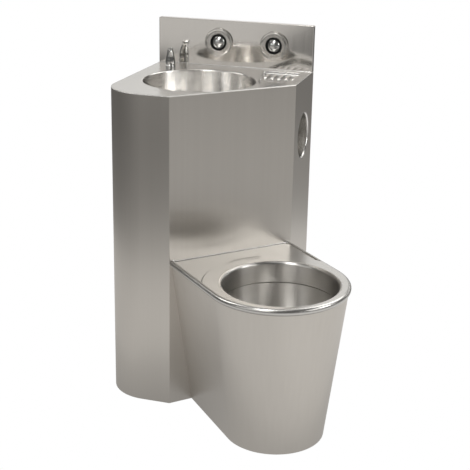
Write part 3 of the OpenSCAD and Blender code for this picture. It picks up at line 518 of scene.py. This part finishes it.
addPiece("basin_bowl_drawn", moved(turned(basinSection(), bowlSteps), (basinX, basin["y"], 0)),
         bowlSteel, "polished_steel", ["basin_bowl"], origin=(basinX, basin["y"], deckTop), weighted=False)
print("basin made")


def trayShell():
    rim, curve, t = tray["rim"], tray["floorRound"], tray["sheet"]
    levels = [(-rim * (1 - s), deckTop - rim * (1 - c)) for c, s in quarterTurn(5)]
    levels += [(curve * (1 - c), trayFloor + curve * (1 - s)) for c, s in quarterTurn(5)]
    top = [atHeight(trayLoop(d), z) for d, z in levels]
    under = [atHeight(trayLoop(d - t), z - t) for d, z in levels]
    under[0] = atHeight(trayLoop(-rim), deckTop - t)
    under[1] = atHeight(trayLoop(levels[1][0] - t), levels[1][1] - t * tray["thinEdge"])
    floor = filledPlate(trayLoop(levels[-1][0]), [], trayFloor)
    below = filledPlate(trayLoop(levels[-1][0] - t), [], trayFloor - t)
    return together(joinRings(top), joinRings(under), joinRings([top[0], under[0]]), floor, below)


addPiece("soap_tray_pressing", trayShell(), deckSteel, "satin_sheet", ["soap_tray"])

# foot gives the grow and the height of the rib's first three outlines, crown how far its top draws in
rib = dict(count=5, pitch=0.020, width=0.0115, length=0.052, height=0.0042, first=0.009, back=0.018,
           foot=((0.0012, -0.0003), (0.0006, 0.0003), (0.0, 0.0011)), crown=0.75)


def ribShape(x, y, z):
    # one raised rib with rounded shoulders, sunk a little in the tray's floor
    half, reach, base = rib["width"] / 2, rib["length"] / 2, rib["foot"][-1][1]
    rise = rib["height"] - base
    levels = list(rib["foot"])
    levels += [(-half * rib["crown"] * (1 - c), base + rise * s) for c, s in quarterTurn(6)[1:]]
    rings = []
    for grow, h in levels:
        ends = (arcPoints(x, y - reach + half, half + grow, 180, 360, steps=12)
                + arcPoints(x, y + reach - half, half + grow, 0, 180, steps=12))
        rings.append(atHeight(ends, z + h))
    return joinRings(rings, firstCap=True, lastCap=True)


ribY = -tray["back"] - rib["back"] - rib["length"] / 2
ribs = [ribShape(trayX - rib["first"] - rib["pitch"] * i, ribY, trayFloor) for i in range(rib["count"])]
addPiece("soap_tray_ribs", together(*ribs), bowlSteel, "polished_steel", sharp=60)
print("soap tray made")

# splashback

splash = dict(height=0.132, depth=0.018, bend=0.0018, leastBend=0.0008, corner=0.003, sheet=0.002,
              buttonX=(-0.0475, 0.118), buttonHeight=0.069, hole=0.0263)
buttonZ = deckTop + splash["buttonHeight"]


def splashRings(d):
    # from the wall plane to the front, then across the bend on to the flat, drawn in by d
    bend = max(splash["bend"] - d, splash["leastBend"])
    levels = [(0.0, 0.0)]
    levels += [(d - splash["depth"] + bend * (1 - s), bend * (1 - c)) for c, s in quarterTurn(5)]
    rings = []
    for y, inset in levels:
        corner = splash["corner"] - inset / 2
        xa, xb = leftX + d + inset, rightX - d - inset
        top = deckTop + splash["height"] - d - inset
        outline = ([(xa, deckTop)] + arcPoints(xa + corner, top - corner, corner, 180, 90, steps=4)
                   + arcPoints(xb - corner, top - corner, corner, 90, 0, steps=4) + [(xb, deckTop)])
        rings.append([(x, y, z) for x, z in outline])
    return rings


def splashShell():
    # folded front with returned top and side edges, open at the back
    outer, inner = splashRings(0.0), splashRings(splash["sheet"])
    rim = joinRings([outer[0], inner[0]], closed=False)
    feet = [[r[0] for r in rings] + [r[-1] for r in rings[::-1]] for rings in (outer, inner)]
    skins = [joinRings(rings, closed=False, lastCap=True) for rings in (outer, inner)]
    return together(*skins, rim, joinRings(feet, closed=False))


splashPiece = addPiece("splashback_fold", splashShell(), splashSteel, "satin_sheet", ["splashback"],
                       weighted=False)
cutHoles(splashPiece, [cutter((x, -splash["depth"], buttonZ), splash["hole"], "y", steps=96)
                       for x in splash["buttonX"]])

# weld fillet between the deck and the splashback, thinner at its two ends
cove = dict(size=0.0016, endSize=0.4, ends=(0.0015, 0.004), back=0.0005, sink=0.0003)
coveRings = []
for x, share in ((leftX + cove["ends"][0], cove["endSize"]), (leftX + cove["ends"][1], 1.0),
                 (rightX - cove["ends"][1], 1.0), (rightX - cove["ends"][0], cove["endSize"])):
    section = filletSection(cove["size"] * share, deckTop, cove["back"], cove["sink"])
    coveRings.append([(x, -splash["depth"] - n, z) for n, z in section])
addPiece("splashback_cove", joinRings(coveRings, firstCap=True, lastCap=True), deckSteel, "satin_sheet")
print("splashback made")

# push-buttons: face and throat are (distance from the edge, depth below the face)

button = dict(flange=0.041, thick=0.007, ringOut=0.024, neck=0.026, neckLength=0.0077, rimRound=0.0005,
              face=((0.0012, 0.0), (0.0015, 0.0003), (0.0016, 0.0018), (0.0032, 0.0018), (0.0033, 0.0004),
                    (0.0037, 0.0001), (0.0100, 0.0003), (0.0102, 0.0009), (0.0108, 0.0009), (0.0110, 0.0003)),
              bead=0.0006, beadPlace=(0.0010, 0.0010), throat=((0.0003, 0.0030), (0.0, 0.0042)))
seal = dict(drop=0.003, foot=0.0003, rise=0.0002, round=0.0012,
            lip=((0.0016, 0.0006), (0.0004, -0.0002), (0.0, -0.0008)))
dome = dict(radius=0.0175, height=0.007, drop=0.0015, gap=0.0003, travel=0.004, clear=0.001, skirt=0.0025,
            edgeRound=0.0008, capStart=3)


def flangeSection():
    f, t, r = button["flange"], button["thick"], button["ringOut"]
    neck, low, curve = button["neck"], -button["neckLength"], button["rimRound"]
    beadX, beadZ = button["beadPlace"]
    return ([(r, low), (neck, low), (neck, 0.0), (f, 0.0)]
            + arcPoints(f - curve, t - curve, curve, 0, 90, steps=4)
            + [(f - n, t - h) for n, h in button["face"]]
            + [(r + beadX + button["bead"], t - curve)]
            + arcPoints(r + beadX, t - beadZ, button["bead"], 70, 170, steps=4)
            + [(r + n, t - h) for n, h in button["throat"]])


def sealSection():
    inside, out, top = dome["radius"] + dome["gap"], button["ringOut"], button["thick"] - seal["drop"]
    return ([(inside, seal["foot"]), (out, seal["foot"]), (out, top + seal["rise"])]
            + arcPoints(out - seal["round"], top + seal["rise"], seal["round"], 0, 90, steps=4)
            + [(inside + n, top + h) for n, h in seal["lip"]])


def domeSection():
    r, h, edge, curve = dome["radius"], dome["height"], button["thick"] - dome["drop"], dome["edgeRound"]
    ball = (r * r + h * h) / (2 * h)
    start = math.degrees(math.acos(r / ball))
    back, wide = dome["travel"] + dome["clear"], r + dome["skirt"]
    return ([(0.0, -back), (wide, -back), (wide, 0.0), (r, 0.0), (r, edge - curve)]
            + arcPoints(r - curve, edge - curve, curve, 0, start, steps=3)
            + arcPoints(0, edge + h - ball, ball, start + dome["capStart"], 90, steps=18))


for side, x in zip(("left", "right"), splash["buttonX"]):
    place = (x, -splash["depth"], buttonZ)
    for name, section, finish, slotName, node, more in (
            ("button_rose_", flangeSection(), buttonSteel, "polished_steel", "button_flange_",
             dict(sharp=50, weighted=False)),
            ("button_seal_", sealSection(), blackRubber, "black_rubber", "button_ring_", {}),
            ("button_dome_", domeSection(), chrome, "chrome_parts", "push_button_",
             dict(sharp=50, weighted=False, body=side + "_button"))):
        points, faces = turned(section, steps=96)
        # the section's height leaves the splashback
        part = [(x + p[0], place[1] - p[2], buttonZ + p[1]) for p in points], faces
        addPiece(name + side, part, finish, slotName, [node + side], origin=place, **more)
print("push-buttons made")

# drinking spout: bell and nozzle are (radius, height), guard is (half width, distance, lift)

spoutLook = dict(
    aim=(0.34, -0.94), lean=0.011, leanFrom=0.020, leanOver=0.036,
    bell=((0.0102, -0.018), (0.0102, 0.0), (0.0144, 0.0), (0.015, 0.0006), (0.015, 0.0028),
          (0.014, 0.0036), (0.0132, 0.0040), (0.0128, 0.0052), (0.0138, 0.0066), (0.0143, 0.0095),
          (0.0142, 0.014), (0.0136, 0.020), (0.0124, 0.026), (0.0111, 0.032), (0.0100, 0.038),
          (0.0092, 0.043), (0.0083, 0.047), (0.0071, 0.0505), (0.0053, 0.0532), (0.0030, 0.0549),
          (0.0005, 0.0556)),
    nozzle=((0.0052, -0.006), (0.0052, 0.004), (0.0060, 0.0055), (0.0062, 0.0072), (0.0057, 0.0084),
            (0.0046, 0.0086), (0.0034, 0.0078), (0.0034, 0.001), (0.0006, 0.0006)),
    nozzlePlace=(0.008, 0.0455), nozzleRise=0.55,
    guard=((0.0010, -0.010, 0.0), (0.0060, -0.009, 0.0004), (0.0084, -0.004, 0.0012),
           (0.0092, 0.002, 0.0020), (0.0090, 0.008, 0.0026), (0.0074, 0.0125, 0.0030),
           (0.0040, 0.0152, 0.0031), (0.0008, 0.0160, 0.0031)),
    guardPlace=(0.006, 0.0528), guardThick=0.0009, guardDroop=0.0030, guardHalf=0.0092)
spoutFoot = Vector((spout["x"], spout["y"], deckTop))
spoutAim = Vector((*spoutLook["aim"], 0)).normalized()
spoutAcross = Vector((-spoutAim.y, spoutAim.x, 0))


def alongSpout(place):
    return spoutFoot + Vector((0, 0, place[1])) + spoutAim * place[0]


def spoutBody():
    # turned foot and bell, whose centre line leans over the basin near the top
    rings = []
    for r, h in spoutLook["bell"]:
        s = max(0.0, (h - spoutLook["leanFrom"]) / spoutLook["leanOver"])
        lean = spoutLook["lean"] * s * s
        centre = [spoutFoot[i] + spoutLook["aim"][i] * lean for i in (0, 1)]
        rings.append(atHeight(circleLoop(*centre, r, steps=48), deckTop + h))
    return joinRings(rings, firstCap=True, lastCap=True)


def spoutNozzle():
    # short tube that leaves the bell towards the basin, with a turned lip
    way = (spoutAim + Vector((0, 0, spoutLook["nozzleRise"]))).normalized()
    top = way.cross(spoutAcross)
    start = alongSpout(spoutLook["nozzlePlace"])
    rings = [[start + way * h + spoutAcross * a + top * b for a, b in circleLoop(0, 0, r, steps=32)]
             for r, h in spoutLook["nozzle"]]
    return joinRings(rings, firstCap=True, lastCap=True)


def spoutGuard():
    # flat hood over the mouth
    start = alongSpout(spoutLook["guardPlace"])
    rings = []
    for w, n, lift in spoutLook["guard"]:
        ring = []
        for c, s in circleLoop(0, 0, 1, steps=24):
            droop = spoutLook["guardDroop"] * (c * w / spoutLook["guardHalf"]) ** 2
            rise = Vector((0, 0, lift + spoutLook["guardThick"] * s - droop))
            ring.append(start + spoutAim * n + spoutAcross * (w * c) + rise)
        rings.append(ring)
    return joinRings(rings, firstCap=True, lastCap=True)


addPiece("drinking_spout", together(spoutBody(), spoutNozzle(), spoutGuard()), chrome, "chrome_parts",
         ["bubbler"], origin=spoutFoot, sharp=55, weighted=False)
print("drinking spout made")


# roll recess

def rollCan():
    r, lip, heel, t = (rollOpening[k] for k in ("radius", "lip", "heel", "sheet"))
    depth, wall = rollOpening["depth"], rollOpening["radius"] - rollOpening["lip"] - rollOpening["heel"]
    return (arcPoints(r, lip, lip, -90, -180, steps=10)
            + arcPoints(wall, depth - heel, heel, 0, 90, steps=12)
            + [(0.0, depth), (0.0, depth + t)]
            + arcPoints(wall, depth - heel, heel + t, 90, 0, steps=12)
            + arcPoints(r, lip, lip - t, -180, -90, steps=10))


points, faces = turned(rollCan())
points = [(rightX - p[2], rollOpening["place"][1] + p[0], rollOpening["place"][2] + p[1]) for p in points]
addPiece("roll_recess_can", (points, faces), bowlSteel, "polished_steel", ["roll_can"],
         origin=rollOpening["place"], sharp=50, weighted=False)
print("roll recess made")

# pan

pan = dict(height=0.422, halfWidth=0.188, straight=0.248, edge=0.009, bowl=0.262, rim=0.157, lip=0.008,
           collar=0.057, collarRound=0.0009, recess=0.0035, border=0.014, slope=0.005, stepRows=8,
           ringArc=0.203, sheet=0.002)
panBead = dict(width=0.020, height=0.0013, lift=0.00002, clear=14, rows=60, fadeRows=8, steps=8)
crest = pan["halfWidth"] - pan["edge"]
panStep = pan["halfWidth"] - pan["border"]
deckLow = pan["height"] - 2 * pan["edge"]


def fromPan(n, t, z):
    # n leaves the slanted front, t runs along it
    return middle[0] + (n + t) / diagonal, middle[1] + (t - n) / diagonal, z


bowlPlace, bowlTop = fromPan(pan["bowl"], 0, 0), fromPan(pan["bowl"], 0, pan["height"])


def panLoop(w):
    return [(0.0, w)] + arcPoints(pan["straight"], 0.0, w, 90, -90, steps=64) + [(0.0, -w)]


def rolledEdge():
    centre, r = pan["height"] - pan["edge"], pan["edge"]
    profile = (arcPoints(crest, centre, r, 90, -90, steps=16)
               + arcPoints(crest, centre, r - pan["sheet"], -90, 90, steps=12))
    return joinRings([[fromPan(n, t, z) for n, t in panLoop(w)] for w, z in profile], closed=False)


def stepLoop(grow, steps=40):
    # outline of the lowered part: open towards the slanted front
    w, r = panStep + grow, pan["ringArc"] - grow
    a = math.degrees(math.atan2(w, -math.sqrt(r * r - w * w)))
    return [(0.0, w)] + arcPoints(pan["bowl"], 0.0, r, a, 360 - a, steps) + [(0.0, -w)]


def flatPanFace(outer, holes, z):
    points, faces = filledPlate(outer, holes, 0.0)
    return [fromPan(p[0], p[1], z) for p in points], faces


def seatRing():
    # low bead pressed along the step, towards the bowl
    start = math.degrees(math.acos(-panStep / pan["ringArc"])) + panBead["clear"]
    base = pan["height"] + panBead["lift"]
    rows, steps = panBead["rows"], panBead["steps"]
    rings = []
    for k in range(rows + 1):
        c, s = polar(start + (360 - 2 * start) * k / rows)
        fade = min(1.0, k / panBead["fadeRows"], (rows - k) / panBead["fadeRows"])
        ring = []
        for i in range(steps + 1):
            rise = panBead["height"] * math.sin(math.pi * i / steps) ** 2 * fade
            r = pan["ringArc"] - pan["slope"] - panBead["width"] * i / steps
            ring.append(fromPan(pan["bowl"] + r * c, r * s, base + rise))
        rings.append(ring)
    return joinRings(rings, closed=False)


def panDeck():
    bowlHole = circleLoop(pan["bowl"], 0, pan["rim"])
    raised = panLoop(crest) + stepLoop(pan["slope"])[::-1]
    parts = []
    for face in (pan["height"], pan["height"] - pan["sheet"]):
        ramp = []
        for s in (k / pan["stepRows"] for k in range(pan["stepRows"] + 1)):
            fall = pan["recess"] * (s * s * (3 - 2 * s))
            ramp.append([fromPan(n, v, face - fall) for n, v in stepLoop(pan["slope"] * (1 - s))])
        parts += [flatPanFace(raised, [bowlHole], face), joinRings(ramp, closed=False),
                  flatPanFace(stepLoop(0.0), [], face - pan["recess"])]
    hole = [[fromPan(n, v, z) for n, v in bowlHole] for z in (pan["height"], pan["height"] - pan["sheet"])]
    return together(*parts, rolledEdge(), joinRings(hole), seatRing())


addPiece("pan_deck_pressing", panDeck(), deckSteel, "satin_sheet", ["pan_deck"], origin=bowlTop)

# weld fillet along the foot of the slanted front, with a stop at its ends and at both sides of the step
panCove = dict(size=0.0022, endSize=0.001, margin=0.006, end=0.004, before=0.001, back=0.0004, sink=0.0006)
reach = pan["halfWidth"] - panCove["margin"]
stops = [reach, reach - panCove["end"], panStep + panCove["end"], panStep - panCove["before"]]
stops = [-t for t in stops] + stops[::-1]
coveRings = []
for t in stops:
    base = pan["height"] - pan["recess"] if abs(t) < panStep else pan["height"]
    size = panCove["endSize"] if abs(t) == reach else panCove["size"]
    section = filletSection(size, base, panCove["back"], panCove["sink"])
    coveRings.append([fromPan(n, t, z) for n, z in section])
addPiece("pan_cove", joinRings(coveRings, firstCap=True, lastCap=True), deckSteel, "satin_sheet")


def collarSection():
    rim, lip, curve, t = pan["rim"], pan["lip"], pan["collarRound"], pan["sheet"]
    wall, low, lipZ = rim - lip, pan["height"] - pan["collar"], pan["height"] - lip
    return (arcPoints(rim, lipZ, lip, 90, 180, steps=12)
            + arcPoints(wall + curve, low + curve, curve, 180, 270, steps=4)
            + [(wall + t, low)] + arcPoints(rim, lipZ, lip - t, 180, 90, steps=12))


addPiece("pan_collar_rolled", moved(turned(collarSection(), bowlSteps), bowlPlace), panSteel,
         "polished_steel", ["pan_collar"], origin=bowlTop, sharp=50, weighted=False)

# the channel stands round the collar, the ledge leads from it to the bell, the throat ends the bell
lowerBowl = dict(throat=0.190, throatEnd=0.178, soil=0.043, ease=0.003, drop=0.003, funnel=0.012, lastTurn=80,
                 turnStep=4, channel=0.0075, channelFoot=(0.008, 0.007), ledge=(0.0025, 0.0015),
                 ledgeUnder=(0.0035, -0.0005))


def lowerBowlSection():
    t, soil, throat, end = pan["sheet"], lowerBowl["soil"], lowerBowl["throat"], lowerBowl["throatEnd"]
    wall, top = pan["rim"] - pan["lip"], pan["height"] - pan["sheet"]
    edge, channel = wall + lowerBowl["ease"], wall + t + lowerBowl["channel"]
    shoulder = pan["height"] - pan["collar"] - lowerBowl["drop"]
    wide, deep = edge - soil, shoulder - throat - lowerBowl["funnel"]
    turns = [polar(a) for a in range(0, lowerBowl["lastTurn"] + 1, lowerBowl["turnStep"])]
    inner = [(soil + wide * c, shoulder - deep * s) for c, s in turns]
    outer = [(soil + (wide + t) * c, shoulder - (deep + t) * s) for c, s in turns[:0:-1]]
    foot, under = lowerBowl["channelFoot"]
    (ledgeX, ledgeZ), (underX, underZ) = lowerBowl["ledge"], lowerBowl["ledgeUnder"]
    return ([(channel, top), (channel, shoulder + foot), (edge + ledgeX, shoulder + ledgeZ)] + inner
            + [(soil, throat), (soil, end), (soil + t, end), (soil + t, throat - t)] + outer
            + [(edge + underX, shoulder + underZ), (channel + t, shoulder + under), (channel + t, top)])


addPiece("pan_bowl_spun", moved(turned(lowerBowlSection(), bowlSteps), bowlPlace), panSteel,
         "polished_steel", ["pan_bowl"], origin=bowlTop, sharp=40, weighted=False)

skirt = dict(rear=0.120, front=0.133, straight=0.250, flare=0.003, rows=10, sideSteps=12)


def skirtRings(d):
    # from the floor up to the rolled edge, drawn in by d
    top, steps, rings = crest + skirt["flare"], skirt["sideSteps"], []
    for k in range(skirt["rows"] + 1):
        s = k / skirt["rows"]
        rear = skirt["rear"] + (top - skirt["rear"]) * s - d
        r = skirt["front"] + (top - skirt["front"]) * s - d
        centre = skirt["straight"] + (pan["straight"] - skirt["straight"]) * s
        # the side touches the round front where the line from the rear meets it
        tilt = math.degrees(math.asin((r - rear) / centre))
        arc = arcPoints(centre, 0.0, r, 90 + tilt, -90 - tilt, steps=64)
        sides = [(arc[0][0] * i / steps, rear + (arc[0][1] - rear) * i / steps) for i in range(steps)]
        loop = sides + arc + [(n, -v) for n, v in sides[::-1]]
        rings.append([fromPan(n, v, deckLow * s) for n, v in loop])
    return rings


outside, inside = skirtRings(0.0), skirtRings(pan["sheet"])
skirtFaces = [outside, inside] + [[outside[k], inside[k]] for k in (0, -1)]
skirtFaces += [[[r[k] for r in outside], [r[k] for r in inside]] for k in (0, -1)]
addPiece("pan_skirt_wrap", together(*(joinRings(rings, closed=False) for rings in skirtFaces)),
         uprightSteel, "satin_sheet", ["pan_skirt"], origin=bowlPlace)
print("pan made")

# finishes of the pieces that stay as they are

nodeFinishes = {
    uprightSteel: ["front_panel", "base_frame", "rear_angle_left", "rear_angle_right", "deck_channel",
                   "panel_channel", "valve_rail", "valve_bracket", "pan_base"],
    bowlSteel: ["basin_strainer", "basin_waste"],
    pipeSteel: ["basin_trap", "basin_outlet", "flush_pipe", "pan_trap", "soil_elbow", "soil_pipe"],
    brass: ["waste_nut", "slip_nuts", "bubbler_nut", "bubbler_pipe", "capsule_nut_left", "capsule_nut_right",
            "basin_valve", "flush_valve", "supply_pipe", "supply_tee", "stop_valve", "earth_stud"],
    blackRubber: ["waste_gasket", "bubbler_washer", "bellows_left", "bellows_right", "soil_coupling"],
    zinc: ["air_capsule_left", "air_capsule_right", "flush_valve_cap", "cap_bolts", "soil_outlet"],
    airHose: ["air_tube_left", "air_tube_right"],
}
for finish, names in nodeFinishes.items():
    for name in names:
        nodes[name].data.materials.clear()
        nodes[name].data.materials.append(finish)
print("inner pieces finished")

# studio: the floor's glow is painted light and shade for reflections, as (distance from the centre, light),
# low close round the object as a painted shadow; a ramp adds its painted light between two places on its
# axis, painted shade where its amount is below zero

studio = dict(
    floorSize=18.0, floorDrop=0.0006, centre=(0.05, -0.25, 0), reach=8.0, least=0.16,
    warmth=(1.0, 0.985, 0.96, 1),
    glow=((0.2, 0.40), (0.5, 0.55), (0.7, 0.68), (1.1, 0.71), (1.35, 0.65), (1.65, 0.40), (2.0, 0.32),
          (2.5, 0.30), (3.4, 0.26), (4.3, 0.22), (8.0, 0.22)),
    paintedRamps=(("X", 0.3, 0.7, 0.08), ("X", 1.7, 2.2, 0.15), ("Y", 1.1, 2.0, -0.07), ("Y", 2.2, 3.2, -0.13),
           ("X", -0.3, -0.8, -0.05), ("Y", -4.7, -5.2, 0.52)),
    corners=((("X", -1.5, -2.4, -0.05), ("Y", -5.2, -4.6, 1.0)),
             (("Y", -4.7, -5.2, 1.0), ("X", -1.5, -1.15, -0.42))))


def plainForCamera(tree, glow, plain, out):
    # the camera sees the plain light, reflections see the glow
    path = newNode(tree, "LightPath")
    choose = newNode(tree, "MixShader", {0: (path, "Is Camera Ray"), 1: (glow, 0), 2: (plain, 0)})
    wire(tree, choose, 0, out, "Surface")


def studioFloor():
    half, z = studio["floorSize"] / 2, -studio["floorDrop"]
    mesh = bpy.data.meshes.new("studioFloor")
    square = [(-half, -half, z), (half, -half, z), (half, half, z), (-half, half, z)]
    mesh.from_pydata(square, [], [(0, 1, 2, 3)])
    floor = newObject("studioFloor", mesh)
    paper = bpy.data.materials.new("paintedLightPaper")
    paper.use_nodes = True
    tree = paper.node_tree
    tree.nodes.clear()
    coords = newNode(tree, "TexCoord")
    # in reflections the paper shows painted light: a painted shadow close round the object, brightest about a
    # metre away, fading further out
    distance = newNode(tree, "VectorMath", {0: (coords, "Object"), 1: studio["centre"]}, operation="DISTANCE")
    share = mathNode(tree, "DIVIDE", (distance, "Value"), studio["reach"], clamp=True)
    fall = newNode(tree, "FloatCurve", {"Value": share})
    curve = fall.mapping.curves[0]
    stops = [(far / studio["reach"], value) for far, value in studio["glow"]]
    curve.points[0].location, curve.points[-1].location = stops[0], stops[-1]
    for at, value in stops[1:-1]:
        curve.points.new(at, value)
    fall.mapping.update()
    split = newNode(tree, "SeparateXYZ", {0: (coords, "Object")})

    def ramp(axis, start, stop, gain):
        return newNode(tree, "MapRange", {"Value": (split, axis), "From Min": start, "From Max": stop,
                                          "To Max": gain}, interpolation_type="SMOOTHSTEP"), 0

    # painted light and shade of the floor: the distance curve plus the ramps' painted bands
    paintedFloorLight = (fall, 0)
    for line in studio["paintedRamps"]:
        paintedFloorLight = mathNode(tree, "ADD", paintedFloorLight, ramp(*line))
    # each corner is painted shade where two ramps overlap
    for first, second in studio["corners"]:
        paintedFloorLight = mathNode(tree, "ADD", paintedFloorLight, mathNode(tree, "MULTIPLY", ramp(*first), ramp(*second)))
    paintedFloorLight = mathNode(tree, "MAXIMUM", paintedFloorLight, studio["least"])
    glow = newNode(tree, "Emission", {"Color": studio["warmth"], "Strength": paintedFloorLight})
    plainForCamera(tree, glow, newNode(tree, "Emission"), newNode(tree, "OutputMaterial"))
    mesh.materials.append(paper)


studioFloor()


def softBoxGroup():
    # one soft-edged bright panel in the studio's sky, by azimuth and height in degrees
    group, start, end = newGroup("softBox", {
        "Azimuth": 0.0, "Elevation": 0.0, "Centre": 0.0, "Half Width": 20.0, "Low": 0.0, "High": 90.0,
        "Soft": 4.0, "Strength": 1.0}, ("Light",))
    off = mathNode(group, "SUBTRACT", (start, "Azimuth"), (start, "Centre"))
    halfTurn = 180.0
    aside = newNode(group, "Math", {0: off, 1: halfTurn, 2: -halfTurn}, operation="WRAP")
    light = (start, "Strength")
    for limit, value in (((start, "Half Width"), mathNode(group, "ABSOLUTE", (aside, 0))),
                         ((start, "Elevation"), (start, "Low")), ((start, "High"), (start, "Elevation"))):
        room = mathNode(group, "SUBTRACT", limit, value)
        share = mathNode(group, "DIVIDE", room, (start, "Soft"), clamp=True)
        light = mathNode(group, "MULTIPLY", light, share)
    wire(group, *light, end, "Light")
    return group


softBox = softBoxGroup()

# azimuth 0 is +Y, 90 is +X, as seen from above; low and high are heights above the horizon
panelKeys = ("Centre", "Half Width", "Low", "High", "Soft", "Strength")
skyPanels = (
    (-16, 60, 5, 18, 4, 1.12), (-39, 37, 5, 30, 4, 0.76), (13, 9, 6, 17, 4, 1.8),
    (-166, 22, 2, 28, 6, 0.78), (-140, 13, 2, 28, 4, 1.0), (105, 15, 8, 36, 6, 2.1),
    (-12, 10, 24, 46, 4, 1.5), (-170, 12, 28, 66, 5, 3.2), (-150, 12, 28, 66, 5, 0.8),
    (-90, 13, 28, 66, 5, 3.6), (-62, 18, 28, 66, 5, 0.45), (-30, 13, 28, 66, 5, 1.2),
    (10, 13, 28, 66, 5, 2.2), (32, 13, 28, 66, 5, 3.0), (52, 12, 28, 66, 5, 0.9),
    (0, 200, 74, 95, 8, 1.25))
skyBase = 0.12


def studioSky():
    world = bpy.data.worlds.new("studioSky")
    scene.world = world
    world.use_nodes = True
    tree = world.node_tree
    tree.nodes.clear()
    split = newNode(tree, "SeparateXYZ", {0: (newNode(tree, "TexCoord"), "Generated")})
    azimuth = mathNode(tree, "DEGREES", mathNode(tree, "ARCTAN2", (split, "X"), (split, "Y")))
    elevation = mathNode(tree, "DEGREES", mathNode(tree, "ARCSINE", (split, "Z")))
    # where panels overlap, the brighter one counts
    light = skyBase
    for panel in skyPanels:
        inputs = dict(zip(panelKeys, panel), Azimuth=azimuth, Elevation=elevation)
        box = newNode(tree, "Group", inputs, node_tree=softBox)
        light = mathNode(tree, "MAXIMUM", (box, 0), light)
    glow = newNode(tree, "Background", {"Color": studio["warmth"], "Strength": light})
    plain = newNode(tree, "Background", {"Color": (1, 1, 1, 1)})
    plainForCamera(tree, glow, plain, newNode(tree, "OutputWorld"))


studioSky()
scene.view_settings.view_transform = "Standard"

lights = dict(topLight=dict(place=(-0.08, -1.5, 3.0), aim=(0, -0.3, 0.5), size=(0.5, 0.8), power=14),
              sideLight=dict(place=(2.6, -0.3, 1.8), aim=(0, -0.3, 0.6), size=(0.5, 1.4), power=10))
for name, look in lights.items():
    data = bpy.data.lights.new(name, "AREA")
    data.shape = "RECTANGLE"
    data.size, data.size_y = look["size"]
    data.energy = look["power"]
    light = newObject(name, data, look["place"])
    light.rotation_euler = (Vector(look["aim"]) - Vector(look["place"])).to_track_quat("-Z", "Y").to_euler()
print("studio made")
